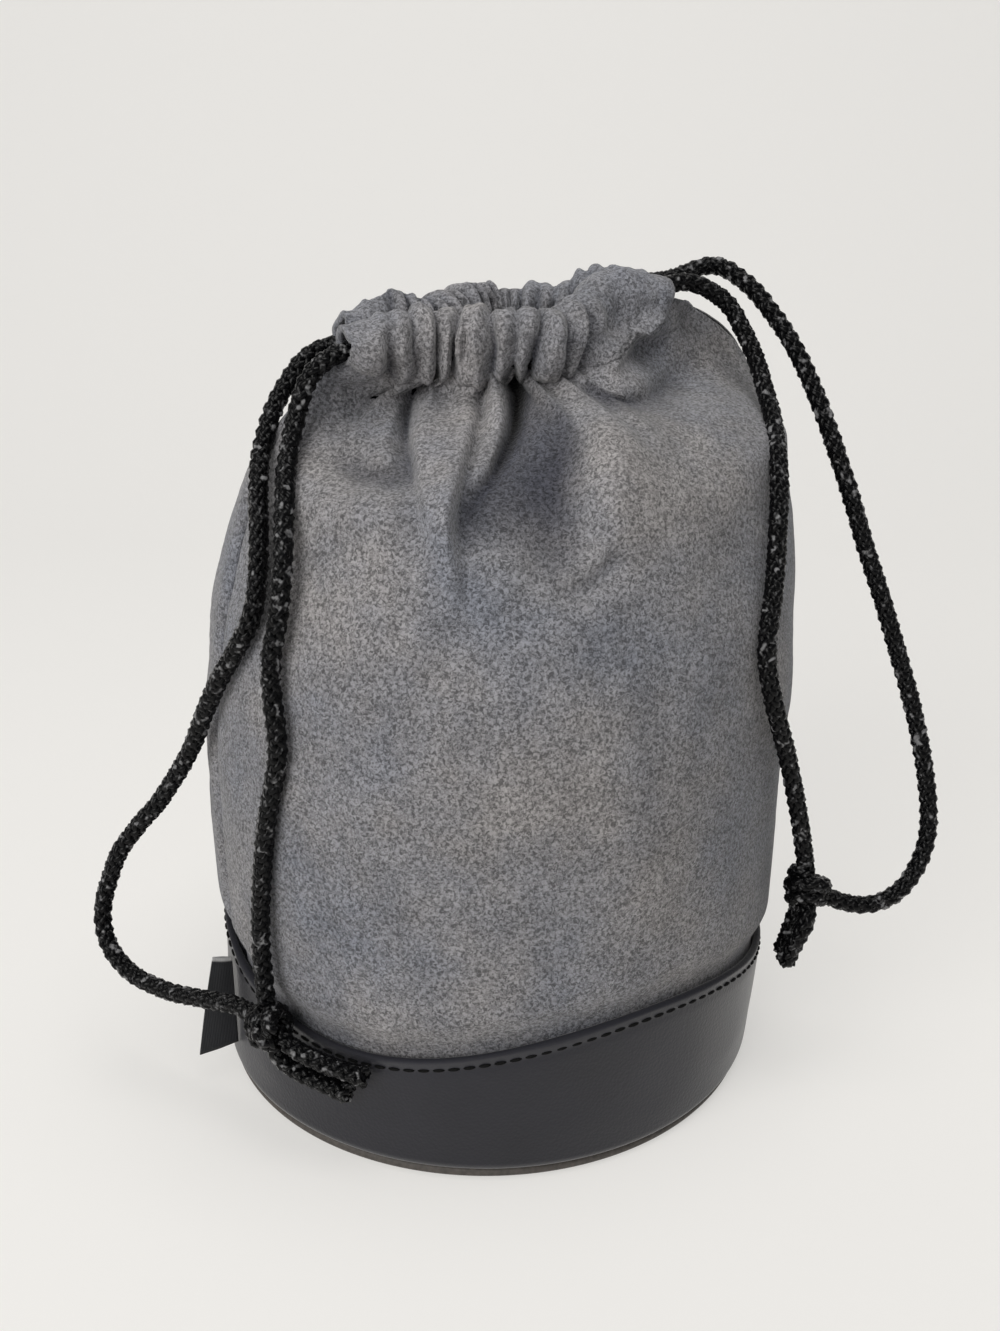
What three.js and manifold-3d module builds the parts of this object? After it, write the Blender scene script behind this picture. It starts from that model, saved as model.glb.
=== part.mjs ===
// Drawstring lens pouch, in millimetres. +Z is up, the pouch stands on z = 0 with its round base
// centred on the origin, and the two side seams lie on the X axis, the tag on the -X one.
// The front panel faces -Y. The mouth is drawn nearly shut, as the pouch stands when it is put away.

import * as THREE from "three";
import { mergeVertices } from "three/addons/utils/BufferGeometryUtils.js";
import Module from "manifold-3d";

const wasm = await Module();
wasm.setup();

// Base: a round leatherette panel, a band that turns in under a foam pad, and a lining over the pad.
const BASE_RADIUS = 61;
const BASE_PANEL_THICKNESS = 2.2;
const BASE_PANEL_INSET = 0.8;
const BAND_WALL = 1.6;
const BAND_HEIGHT = 30.5;
const BAND_WAVE = 4.2;
const BAND_WAVE_COUNT = 3;
const BAND_WAVE_TURN = THREE.MathUtils.degToRad(247);
const BAND_TURN_IN = 7;
const PAD_THICKNESS = 5;
const LINING_THICKNESS = 1;

// Suede body: half widths along the seams' axis and half depths across it, from the floor up, and how far
// the standing bag has leant to +X at that height. The suede comes out from under the band's edge within a
// few millimetres above it.
const SUEDE_THICKNESS = 1.4;
const SUEDE_TUCK = 12;
const EDGE_RISE = 4;
const EASE_RISE = 11;
const BODY_RISE = 14;
const HEM = { height: 28, halfWidth: BASE_RADIUS + 1.2, halfDepth: BASE_RADIUS + 0.5, lean: 1.8 };
const BELLY = { height: 70, halfWidth: 63.5, halfDepth: 61, lean: 2.4 };
const WAIST = { height: 98, halfWidth: 63, halfDepth: 58, lean: 4.2 };
const SHOULDER = { height: 122, halfWidth: 60, halfDepth: 50, lean: 6.5 };
const CREST = { height: 143, halfWidth: 53, halfDepth: 37, lean: 9.5 };

// Mouth: the two casings bulge apart in the middle and run side by side at the ends.
const STITCH_HEIGHT = 152;
const MOUTH_HALF_LENGTH = 36;
const MOUTH_HALF_DEPTH = 14;
const MOUTH_BULGE_LENGTH = 42;
const MOUTH_LEAN = 7;
const MOUTH_RISE = 7;
const REAR_RIM = 2.5;
const PLEATS_PER_PANEL = 10;
const PLEAT_DEPTH = 2.2;
const RUFFLE_DEPTH = 1.2;

// Drawstrings: each runs round both casings, leaves at its own side and is knotted to itself.
const CORD_DIAMETER = 4.4;
const CASING_CLEARANCE = 0.5;
const CORD_SPACING = 0.4;
const LEAD_INSIDE = 14;
const LEAD_OUTSIDE = 8;
const TURN_OUTSIDE = 3.6;
const KNOT_WRAP_RADIUS = 3.5;
const KNOT_WRAP_PITCH = 3.6;
const KNOT_WRAP_TILT = 0.4;

// Tag: a folded ribbon, sewn slanting into the side seam of the band.
const TAG_BOTTOM = 7.5;
const TAG_HEIGHT = 23.5;
const TAG_WIDTH = 8.5;
const TAG_SLANT = 4.5;
const TAG_THICKNESS = 1;

// Gaps between pieces that touch.
const FIT_GAP = 0.3;
const SEAM_GAP = 0.4;

// Facets.
const ROUND_STEPS = 64;
const COLUMNS_PER_PLEAT = 4;
const BODY_ROWS = 8;
const CORD_SIDES = 8;

const mix = THREE.MathUtils.lerp;
const smooth = THREE.MathUtils.smoothstep;

// Sizes that follow from the ones above.
const cordRadius = CORD_DIAMETER / 2;
const tunnelHalfWidth = cordRadius + CASING_CLEARANCE;
const tunnelHeight = 2 * CORD_DIAMETER + CORD_SPACING + 2 * CASING_CLEARANCE;
const casingHalfWidth = tunnelHalfWidth + SUEDE_THICKNESS;
const casingHeight = tunnelHeight + 2 * SUEDE_THICKNESS;
const casingEndOffset = casingHalfWidth + SEAM_GAP;
const panelColumns = PLEATS_PER_PANEL * COLUMNS_PER_PLEAT;

const finish = (color, roughness) => new THREE.MeshStandardMaterial({ color, roughness, metalness: 0 });
const suede = finish(0x7b7a7d, 0.95);
const leatherette = finish(0x3b3c42, 0.5);
const foam = finish(0x55565a, 0.95);
const liningCloth = finish(0x6a696c, 0.95);
const braid = finish(0x101012, 0.6);
const ribbon = finish(0x17181b, 0.7);

// A closed three.js geometry as a solid that can be joined and cut, and back again.
function toSolid(geometry) {
  const bare = new THREE.BufferGeometry();
  bare.setAttribute("position", geometry.getAttribute("position"));
  if (geometry.index) bare.setIndex(geometry.index);
  const merged = mergeVertices(bare, 1e-4);
  return new wasm.Manifold(
    new wasm.Mesh({
      numProp: 3,
      vertProperties: new Float32Array(merged.attributes.position.array),
      triVerts: new Uint32Array(merged.index.array),
    }),
  );
}

function toGeometry(solid) {
  const mesh = solid.getMesh();
  const geometry = new THREE.BufferGeometry();
  geometry.setAttribute("position", new THREE.BufferAttribute(mesh.vertProperties, 3));
  geometry.setIndex(new THREE.BufferAttribute(mesh.triVerts, 1));
  geometry.computeVertexNormals();
  return geometry;
}

// A solid through a row of outlines with as many points each. An open row is closed by its first and last
// outline, which are filled from their flat form; a ring's last outline joins its first.
function loft(outlines, flatForm) {
  const count = outlines[0].length;
  const positions = outlines.flat().flatMap((p) => [p.x, p.y, p.z]);
  const faces = [];
  const spans = flatForm ? outlines.length - 1 : outlines.length;
  for (let i = 0; i < spans; i++) {
    const here = i * count;
    const there = ((i + 1) % outlines.length) * count;
    for (let j = 0; j < count; j++) {
      const next = (j + 1) % count;
      faces.push(here + j, there + j, here + next, there + j, there + next, here + next);
    }
  }
  if (flatForm) {
    const turn = Math.sign(THREE.ShapeUtils.area(flatForm));
    const last = (outlines.length - 1) * count;
    for (const [a, b, c] of THREE.ShapeUtils.triangulateShape(flatForm, [])) {
      const same = turn * THREE.ShapeUtils.area([flatForm[a], flatForm[b], flatForm[c]]) > 0;
      const [p, q] = same ? [b, c] : [c, b];
      faces.push(a, p, q, last + a, last + q, last + p);
    }
  }
  const geometry = new THREE.BufferGeometry();
  geometry.setAttribute("position", new THREE.Float32BufferAttribute(positions, 3));
  geometry.setIndex(faces);
  return outwards(geometry);
}

// The geometry with its faces pointing out.
function outwards(geometry) {
  const p = geometry.getAttribute("position");
  const index = geometry.index.array;
  const [a, b, c] = [new THREE.Vector3(), new THREE.Vector3(), new THREE.Vector3()];
  let volume = 0;
  for (let i = 0; i < index.length; i += 3) {
    a.fromBufferAttribute(p, index[i]);
    b.fromBufferAttribute(p, index[i + 1]);
    c.fromBufferAttribute(p, index[i + 2]);
    volume += a.dot(b.cross(c));
  }
  if (volume > 0) return geometry;
  for (let i = 0; i < index.length; i += 3) {
    [index[i], index[i + 1]] = [index[i + 1], index[i]];
  }
  return geometry;
}

// The bag's middle surface, below the stitches: half width, half depth and height, from the floor to the
// mouth, and the lean at the same places.
const stations = [
  { height: 0, halfWidth: BASE_RADIUS, halfDepth: BASE_RADIUS, lean: 0 },
  HEM,
  BELLY,
  WAIST,
  SHOULDER,
  CREST,
  { height: STITCH_HEIGHT, halfWidth: MOUTH_HALF_LENGTH, halfDepth: MOUTH_HALF_DEPTH, lean: MOUTH_LEAN },
];
const bagCurve = new THREE.CatmullRomCurve3(
  stations.map((s) => new THREE.Vector3(s.halfWidth, s.halfDepth, s.height)),
);
const leanCurve = new THREE.CatmullRomCurve3(stations.map((s) => new THREE.Vector3(s.lean, 0, s.height)));

function stationAt(height) {
  let low = 0;
  let high = 1;
  for (let i = 0; i < 40; i++) {
    const middle = (low + high) / 2;
    if (bagCurve.getPoint(middle).z < height) low = middle;
    else high = middle;
  }
  const { x: halfWidth, y: halfDepth } = bagCurve.getPoint(low);
  return { halfWidth, halfDepth, lean: leanCurve.getPoint(low).x };
}

// How far a section has turned from the round bag into the mouth's outline, and how far the seams part.
const mouthShare = (height) => smooth(height, (SHOULDER.height + CREST.height) / 2, STITCH_HEIGHT);
const seamParting = (height) => casingEndOffset * smooth(height, CREST.height, STITCH_HEIGHT);

// The share of the mouth's depth that it has at a place along it.
function mouthBulge(u) {
  const reach = ((2 * u - 1) * MOUTH_HALF_LENGTH) / (MOUTH_BULGE_LENGTH / 2);
  return Math.abs(reach) < 1 ? Math.cos((Math.PI / 2) * reach) ** 2 : 0;
}

// The mouth's end away from the tag stands higher. Both ends are level, where the leads run. The bag is drawn
// in from the waist up.
const bulgeEnd = 0.5 + MOUTH_BULGE_LENGTH / (4 * MOUTH_HALF_LENGTH);
const gathered = (height) => smooth(height, WAIST.height, STITCH_HEIGHT);
const riseAt = (u, height) => MOUTH_RISE * smooth(u, 0.5, bulgeEnd) * gathered(height);

// A point of the bag's middle surface in plan. u runs over one panel, from the tag's seam to the other one,
// and side is -1 on the front panel and 1 on the rear one.
function planPoint(side, u, height) {
  const { halfWidth, halfDepth, lean } = stationAt(height);
  const share = mouthShare(height);
  const x = halfWidth * mix(-Math.cos(Math.PI * u), 2 * u - 1, share);
  const mouthY = mix(seamParting(height), halfDepth, mouthBulge(u));
  const y = mix(halfDepth * Math.sin(Math.PI * u), mouthY, share);
  return new THREE.Vector2(x + lean, side * y);
}

// The outward direction there, level with the floor.
function planNormal(side, u, height) {
  const step = 0.004;
  const ahead = planPoint(side, Math.min(1, u + step), height);
  const along = ahead.sub(planPoint(side, Math.max(0, u - step), height));
  return new THREE.Vector2(-along.y, along.x).multiplyScalar(side).normalize();
}

// Pleats hang from the stitches and die out at the waist. They leave the seams straight, within a share of
// the panel's width.
const seamShare = 0.08;
const seamEase = (u) => smooth(u, 0, seamShare) * smooth(1 - u, 0, seamShare);
const pleatWave = (side, u) => Math.sin(2 * Math.PI * PLEATS_PER_PANEL * u + side);

function pleatAt(side, u, height) {
  const depth = PLEAT_DEPTH * gathered(height) * seamEase(u);
  return depth * pleatWave(side, u);
}

// A point off the bag's middle surface by a distance outwards.
function bagPoint(side, u, height, distance) {
  const normal = planNormal(side, u, height);
  const p = planPoint(side, u, height).addScaledVector(normal, distance);
  p.y = side * Math.max(side * p.y, SEAM_GAP / 2);
  return new THREE.Vector3(p.x, p.y, height + riseAt(u, height));
}

// The band's top edge waves round the base.
const bandTop = (angle) => BAND_HEIGHT + BAND_WAVE * Math.sin(BAND_WAVE_COUNT * (angle - BAND_WAVE_TURN));

// A point at a height on the round of the base, off its outside by a distance inwards.
function basePoint(angle, height, inwards) {
  const { halfWidth, halfDepth, lean } = stationAt(height);
  return new THREE.Vector3(
    (halfWidth - inwards) * Math.cos(angle) + lean,
    (halfDepth - inwards) * Math.sin(angle),
    height,
  );
}

const bandBottom = BASE_PANEL_THICKNESS + FIT_GAP;
const padBottom = bandBottom + BAND_WALL + FIT_GAP;
const liningBottom = padBottom + PAD_THICKNESS + FIT_GAP;

// A disc with a rounded rim.
function disc(radius, bottom, thickness) {
  const round = thickness / 2;
  const profile = [
    new THREE.Vector2(0, bottom),
    new THREE.Vector2(radius - round / 2, bottom),
    new THREE.Vector2(radius, bottom + round),
    new THREE.Vector2(radius - round / 2, bottom + thickness),
    new THREE.Vector2(0, bottom + thickness),
  ];
  const lathe = new THREE.LatheGeometry(profile, ROUND_STEPS);
  lathe.rotateX(Math.PI / 2);
  return toGeometry(toSolid(lathe));
}

// The band: a wall with a wavy top edge and a bottom edge turned in under the pad.
function bandGeometry() {
  const outlines = [];
  for (let i = 0; i < ROUND_STEPS; i++) {
    const angle = (2 * Math.PI * i) / ROUND_STEPS;
    const top = bandTop(angle);
    const turn = bandBottom + BAND_WALL;
    outlines.push([
      basePoint(angle, bandBottom, BAND_TURN_IN),
      basePoint(angle, bandBottom, BAND_WALL / 2),
      basePoint(angle, bandBottom + BAND_WALL / 2, 0),
      basePoint(angle, top / 2, 0),
      basePoint(angle, top, 0),
      basePoint(angle, top, BAND_WALL),
      basePoint(angle, top / 2, BAND_WALL),
      basePoint(angle, turn, BAND_WALL),
      basePoint(angle, turn, BAND_TURN_IN),
    ]);
  }
  return loft(outlines);
}

// One side of the suede panel's section, from its edge inside the band up to the stitches. distance is how
// far this side lies off the middle surface.
function panelSkin(side, u, distance) {
  const top = bandTop(side * Math.PI * (1 - u));
  const tucked = -(BAND_WALL + FIT_GAP + SUEDE_THICKNESS / 2);
  const skin = [
    [top - SUEDE_TUCK, tucked],
    [top + 3 * FIT_GAP, tucked],
    [top + EDGE_RISE, tucked / 3],
    [top + EASE_RISE, 0],
  ];
  const start = BAND_HEIGHT + BAND_WAVE + BODY_RISE;
  for (let i = 0; i <= BODY_ROWS; i++) {
    const share = i / BODY_ROWS;
    skin.push([mix(start, STITCH_HEIGHT - FIT_GAP, Math.sin((share * Math.PI) / 2) ** 0.85), 0]);
  }
  return skin.map(([height, ease]) => bagPoint(side, u, height, ease + distance + pleatAt(side, u, height)));
}

// The casing's section above the stitches, as [outwards, upwards] pairs from the stitched line.
function casingProfile(side, u) {
  const ruffle = RUFFLE_DEPTH * seamEase(u) * (1 + pleatWave(side, u));
  const inner = ruffle * mouthBulge(u);
  const rim = side > 0 ? REAR_RIM * (1 - smooth(u, 0.5, bulgeEnd)) : 0;
  const wall = (swell) => [
    [SUEDE_THICKNESS / 2, 0],
    [casingHalfWidth * 0.75, casingHeight * 0.07],
    [casingHalfWidth + swell / 2, casingHeight * 0.25],
    [casingHalfWidth + swell, casingHeight * 0.55],
    [casingHalfWidth + swell / 2, casingHeight * 0.85],
    [casingHalfWidth * 0.6, casingHeight + ruffle / 2 + rim],
  ];
  const inside = wall(inner).map(([out, up]) => [-out, up]);
  return [...wall(ruffle), ...inside.reverse()];
}

function casingPoint(side, u, out, up) {
  const base = bagPoint(side, u, STITCH_HEIGHT, out);
  return base.setZ(base.z + up);
}

// A suede panel's wall, from its edge inside the band up to the stitches.
function panelGeometry(side) {
  const outlines = [];
  for (let i = 0; i <= panelColumns; i++) {
    const u = i / panelColumns;
    const inside = panelSkin(side, u, -SUEDE_THICKNESS / 2).reverse();
    outlines.push([...panelSkin(side, u, SUEDE_THICKNESS / 2), ...inside]);
  }
  const rows = panelSkin(side, 0, 0).map((p) => p.z);
  const flatForm = [
    ...rows.map((z) => new THREE.Vector2(SUEDE_THICKNESS / 2, z)),
    ...rows.map((z) => new THREE.Vector2(-SUEDE_THICKNESS / 2, z)).reverse(),
  ];
  return loft(outlines, flatForm);
}

// The panel's top, folded over and stitched down into the casing, with the drawstrings' tunnel through it.
function casingGeometry(side) {
  const outlines = [];
  for (let i = 0; i <= panelColumns; i++) {
    const u = i / panelColumns;
    outlines.push(casingProfile(side, u).map(([out, up]) => casingPoint(side, u, out, up)));
  }
  const flatForm = casingProfile(side, 0).map(([out, up]) => new THREE.Vector2(out, up));
  return toGeometry(toSolid(loft(outlines, flatForm)).subtract(tunnel(side)));
}

// The middle of the tunnel, and of each drawstring in it: the tag's drawstring lies under the other one.
const tunnelMiddle = casingHeight / 2;
const cordLevel = (CORD_DIAMETER + CORD_SPACING) / 2;

function tunnel(side) {
  const corners = [
    [tunnelHalfWidth, -tunnelHeight / 2 + 1],
    [tunnelHalfWidth, tunnelHeight / 2 - 1],
    [tunnelHalfWidth - 1, tunnelHeight / 2],
    [1 - tunnelHalfWidth, tunnelHeight / 2],
    [-tunnelHalfWidth, tunnelHeight / 2 - 1],
    [-tunnelHalfWidth, 1 - tunnelHeight / 2],
    [1 - tunnelHalfWidth, -tunnelHeight / 2],
    [tunnelHalfWidth - 1, -tunnelHeight / 2],
  ];
  const outlines = [];
  for (let i = 0; i <= panelColumns; i++) {
    const u = i / panelColumns;
    outlines.push(corners.map(([out, up]) => casingPoint(side, u, out, tunnelMiddle + up)));
  }
  const past = new THREE.Vector3(CORD_DIAMETER, 0, 0);
  outlines.unshift(outlines[0].map((p) => p.clone().sub(past)));
  outlines.push(outlines.at(-1).map((p) => p.clone().add(past)));
  return toSolid(loft(outlines, corners.map(([out, up]) => new THREE.Vector2(out, up))));
}

// A cord along a curve.
function cord(curve, steps) {
  const section = new THREE.Shape();
  for (let i = 0; i < CORD_SIDES; i++) {
    const angle = (2 * Math.PI * i) / CORD_SIDES;
    section[i ? "lineTo" : "moveTo"](cordRadius * Math.cos(angle), cordRadius * Math.sin(angle));
  }
  section.closePath();
  return toSolid(new THREE.ExtrudeGeometry(section, { steps, bevelEnabled: false, extrudePath: curve }));
}

const through = (points) => new THREE.CatmullRomCurve3(points.map((p) => new THREE.Vector3(...p)));

// The mouth's two ends: end is -1 at the tag and 1 away from it. The tag's drawstring is the lower one.
const endX = (end) => MOUTH_LEAN + end * MOUTH_HALF_LENGTH;
const levelOf = (end) => tunnelMiddle + end * cordLevel;
const leadZ = (end) => casingPoint(-1, end < 0 ? 0 : 1, 0, levelOf(end)).z;
const leadY = casingPoint(1, 0, 0, 0).y;

// The run of a drawstring in the casings: along the front one, round the far end and back along the rear one.
function casingRun(end) {
  const level = levelOf(end);
  const start = (LEAD_INSIDE + 3 * FIT_GAP) / (2 * MOUTH_HALF_LENGTH);
  const far = -end;
  const points = [];
  for (const side of [-1, 1]) {
    const half = [];
    for (let i = 0; i <= 14; i++) {
      const along = mix(start, 1, i / 14);
      half.push(casingPoint(side, end < 0 ? along : 1 - along, 0, level));
    }
    points.push(...(side < 0 ? half : half.reverse()));
    if (side < 0) {
      const z = half.at(-1).z;
      for (const angle of [-60, -30, 0, 30, 60].map(THREE.MathUtils.degToRad)) {
        const out = 1 + (TURN_OUTSIDE - 1) * Math.cos(angle);
        points.push(new THREE.Vector3(endX(far) + far * out, leadY * Math.sin(angle), z));
      }
    }
  }
  return toGeometry(cord(new THREE.CatmullRomCurve3(points), 44));
}

// The straight lead of a drawstring through the mouth's end. It slides there when the drawstring is pulled.
const hingeX = (end) => endX(end) + end * LEAD_OUTSIDE;

function lead(end, side) {
  const from = [endX(end) - end * LEAD_INSIDE, side * leadY, leadZ(end)];
  const to = [hingeX(end) - end * (cordRadius + FIT_GAP), side * leadY, leadZ(end)];
  return toGeometry(cord(new THREE.LineCurve3(new THREE.Vector3(...from), new THREE.Vector3(...to)), 1));
}

// A knot: two wraps of the cord, leaning across each other, round a core. grow widens it for a cut.
function knot(centre, axis, grow) {
  const along = new THREE.Vector3(...axis).normalize();
  const turn = new THREE.Quaternion().setFromUnitVectors(new THREE.Vector3(0, 0, 1), along);
  let solid = toSolid(new THREE.SphereGeometry(KNOT_WRAP_RADIUS + cordRadius / 2 + grow, 12, 8));
  for (const way of [-1, 1]) {
    const wrap = new THREE.TorusGeometry(KNOT_WRAP_RADIUS, cordRadius + grow, CORD_SIDES, 16);
    wrap.rotateX(way * KNOT_WRAP_TILT);
    wrap.translate(0, 0, (way * KNOT_WRAP_PITCH) / 2);
    solid = solid.add(toSolid(wrap));
  }
  const geometry = toGeometry(solid);
  return geometry.applyQuaternion(turn).translate(...centre);
}

// A strand from its lead's end to the knot, rounded at the lead so that it can swing there.
function strand(end, side, route, knotCut) {
  const start = new THREE.Vector3(hingeX(end), side * leadY, leadZ(end));
  const curve = new THREE.CatmullRomCurve3([start, ...route.map((p) => new THREE.Vector3(...p))]);
  const ball = new THREE.SphereGeometry(cordRadius, CORD_SIDES, 6).translate(start.x, start.y, start.z);
  return toGeometry(cord(curve, 26).add(toSolid(ball)).subtract(toSolid(knotCut)));
}

const tail = (route, knotCut) => toGeometry(cord(through(route), 8).subtract(toSolid(knotCut)));

// The strands' routes, from the lead to the knot, and the tails', from the knot to the cut end.
const leftKnotAt = [-60.6, -27.3, 29.5];
const leftFrontRoute = [
  [-39.6, -4.6, 152.8], [-42, -5.4, 147], [-45.6, -9.8, 139.4], [-48.8, -17.2, 132.3], [-51.1, -22.6, 124.8],
  [-53.4, -25.1, 114.1], [-55.2, -25.2, 106.3], [-55.8, -26.9, 98.5], [-55.9, -28.6, 92.6],
  [-56.2, -29, 87.7], [-57, -28.1, 82.5], [-58.3, -26.7, 74.7], [-59.1, -25.4, 66.6], [-59.7, -24.3, 58.5],
  [-60.2, -23.6, 49.5], [-60.4, -24, 42], [-60.5, -25.5, 36], leftKnotAt,
];
const leftRearRoute = [
  [-39.8, 4.4, 152.8], [-43, 3.4, 148.8], [-47.4, -0.6, 141.8], [-51, -8.2, 135], [-52.8, -13.3, 127.2],
  [-54.5, -16.4, 119.1], [-56.2, -17.8, 113.3], [-58.4, -15.6, 107.1], [-61.2, -10.4, 99.1],
  [-63.3, -4.6, 90.6], [-65.8, 3, 78.5], [-71.6, 9, 66], [-75.9, 12.3, 59.6], [-80, 14.6, 53.3],
  [-82.4, 15.8, 47.2], [-84.4, 15.9, 41.4], [-85.3, 14.3, 36.3], [-84.6, 10.7, 32], [-81.7, 5.1, 28.6],
  [-75.9, -3.4, 27.6], [-70, -11.8, 29], [-64.8, -19.5, 30.5], leftKnotAt,
];
const leftUpperTail = [leftKnotAt, [-57.2, -33.2, 26.8], [-52.1, -38.4, 24.8], [-46.3, -43.9, 23.8]];
const leftLowerTail = [
  leftKnotAt, [-59.4, -28.6, 22.4], [-56.8, -31.5, 19.8], [-52.7, -36.5, 18.7], [-48.9, -41, 18],
];

const rightKnotAt = [52.8, -50.2, 45.8];
const rightFrontRoute = [
  [53.3, -6.5, 164], [55.2, -10.2, 158.8], [56, -14, 153.8], [55.4, -18.8, 148.3], [52.2, -27.4, 142.4],
  [48, -35.4, 137.2], [45.2, -40.6, 131.8], [43.2, -43.6, 126.2], [41.6, -46, 119.3], [39, -49.4, 113.5],
  [36.2, -52.4, 106.7], [35.4, -53.8, 101.5], [36.5, -54.4, 95.2], [39.8, -53.2, 87.4], [44.2, -51, 78.4],
  [47.8, -50.2, 68], [50.4, -50, 58.5], [51.8, -50, 52], rightKnotAt,
];
const rightRearRoute = [
  [55, 1.6, 171], [59.2, -5, 167.6], [62.5, -11.5, 161], [64.2, -16.5, 155.3], [65.5, -21, 149],
  [66.5, -25.5, 142], [67.6, -29.5, 134.5], [69, -33.5, 126], [70.8, -37.3, 116], [73, -40.8, 106.5],
  [75.8, -44.2, 95], [78.4, -47.6, 83.5], [80.3, -50.7, 72], [80.9, -53.6, 61], [79.8, -55.5, 54.5],
  [76.8, -56.6, 48.3], [72, -56.5, 43], [66, -55, 40.8], [60.3, -52.8, 41.8], rightKnotAt,
];
const rightUpperTail = [rightKnotAt, [50.7, -53.3, 39.7], [48.9, -52.3, 33.8], [48.1, -50.7, 28.8]];
const rightLowerTail = [rightKnotAt, [53.9, -46.7, 39.9], [52.6, -45.7, 33.3], [51.6, -45, 27.3]];

// The tag in its upright plane through the seam, from the band outwards.
function tagGeometry() {
  const seamX = basePoint(Math.PI, TAG_BOTTOM + TAG_HEIGHT, 0).x - FIT_GAP - TAG_THICKNESS / 2;
  const outline = new THREE.Shape(
    [
      [seamX, TAG_BOTTOM + 1],
      [seamX - TAG_WIDTH, TAG_BOTTOM],
      [seamX - TAG_WIDTH + TAG_SLANT, TAG_BOTTOM + TAG_HEIGHT],
      [seamX, TAG_BOTTOM + TAG_HEIGHT - 1],
    ].map((p) => new THREE.Vector2(...p)),
  );
  const flat = new THREE.ExtrudeGeometry(outline, { depth: TAG_THICKNESS, bevelEnabled: false });
  return toGeometry(toSolid(flat.translate(0, 0, -TAG_THICKNESS / 2).rotateX(Math.PI / 2)));
}

const pouch = new THREE.Group();

function add(name, geometry, material) {
  const mesh = new THREE.Mesh(geometry, material);
  mesh.name = name;
  pouch.add(mesh);
  return mesh;
}

add("base_panel", disc(BASE_RADIUS - BASE_PANEL_INSET, 0, BASE_PANEL_THICKNESS), leatherette);
add("base_band", bandGeometry(), leatherette);
add("base_pad", disc(BASE_RADIUS - BAND_WALL - FIT_GAP, padBottom, PAD_THICKNESS), foam);
add("base_lining", disc(BASE_RADIUS - BAND_WALL - FIT_GAP, liningBottom, LINING_THICKNESS), liningCloth);
add("front_panel", panelGeometry(-1), suede);
add("rear_panel", panelGeometry(1), suede);
add("front_casing", casingGeometry(-1), suede);
add("rear_casing", casingGeometry(1), suede);
add("side_tag", tagGeometry(), ribbon);

const sets = [
  ["left", -1, leftKnotAt, [0.35, -0.85, 0.4], leftFrontRoute, leftRearRoute, leftUpperTail, leftLowerTail],
  ["right", 1, rightKnotAt, [0.2, 0.1, 1], rightFrontRoute, rightRearRoute, rightUpperTail, rightLowerTail],
];
for (const [name, end, knotAt, knotAxis, frontRoute, rearRoute, upperTail, lowerTail] of sets) {
  const knotCut = knot(knotAt, knotAxis, FIT_GAP);
  add(`${name}_cord_run`, casingRun(end), braid);
  add(`${name}_front_lead`, lead(end, -1), braid);
  add(`${name}_rear_lead`, lead(end, 1), braid);
  add(`${name}_front_strand`, strand(end, -1, frontRoute, knotCut), braid);
  add(`${name}_rear_strand`, strand(end, 1, rearRoute, knotCut), braid);
  add(`${name}_knot`, knot(knotAt, knotAxis, 0), braid);
  add(`${name}_upper_tail`, tail(upperTail, knotCut), braid);
  add(`${name}_lower_tail`, tail(lowerTail, knotCut), braid);
}

export default pouch;
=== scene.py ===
import math

import bpy
import numpy as np
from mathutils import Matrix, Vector, noise


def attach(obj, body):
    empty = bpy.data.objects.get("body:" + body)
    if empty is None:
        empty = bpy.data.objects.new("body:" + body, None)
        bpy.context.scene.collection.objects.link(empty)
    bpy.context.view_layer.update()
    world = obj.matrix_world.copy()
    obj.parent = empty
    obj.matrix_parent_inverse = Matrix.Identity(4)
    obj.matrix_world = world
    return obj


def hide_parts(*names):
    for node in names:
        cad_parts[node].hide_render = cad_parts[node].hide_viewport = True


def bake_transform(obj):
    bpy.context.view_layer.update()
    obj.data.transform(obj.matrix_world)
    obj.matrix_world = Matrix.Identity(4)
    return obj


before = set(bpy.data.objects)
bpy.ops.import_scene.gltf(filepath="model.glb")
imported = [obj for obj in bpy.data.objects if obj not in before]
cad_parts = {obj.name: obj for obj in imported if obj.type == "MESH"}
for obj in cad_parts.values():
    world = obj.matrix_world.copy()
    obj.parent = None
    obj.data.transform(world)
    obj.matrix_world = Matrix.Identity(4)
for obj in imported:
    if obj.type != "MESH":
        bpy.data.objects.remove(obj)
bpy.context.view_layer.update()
mm = 0.001

# The stage: a plain pale floor that sweeps up into a backdrop, soft light from all round with a little more
# from the upper left, and a camera that looks down on the pouch from an arm's length.
scene = bpy.context.scene
scene.view_settings.view_transform = "Standard"
VIEW_TURN = math.radians(-25)
VIEW_PITCH = math.radians(69.57)
CAMERA_AT = (-119.4 * mm, -263.0 * mm, 195.6 * mm)
CAMERA_LENS = 37.87
FLOOR_COLOUR = (0.83, 0.815, 0.79, 1)
FLOOR_GLOW = (1, 0.985, 0.955, 1)
FLOOR_GLOW_SHARE = 0.5
FLOOR_HALF_WIDTH = 2.6
FLOOR_FRONT = -2.2
SWEEP_START = 0.42
SWEEP_RADIUS = 0.5
SWEEP_STEPS = 12
SWEEP_TOP = 2.4
ROOM_COLOUR = (0.97, 0.985, 1, 1)
ROOM_STRENGTH = 0.23
WALL_COLOUR = (0.8, 0.785, 0.76, 1)
LAMP_COLOUR = (1, 0.985, 0.96)
LAMP_AIM = Vector((0, 0, 0.08))


def put(name, data):
    """An object of the scene with the given data."""
    obj = bpy.data.objects.new(name, data)
    scene.collection.objects.link(obj)
    return obj


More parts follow.
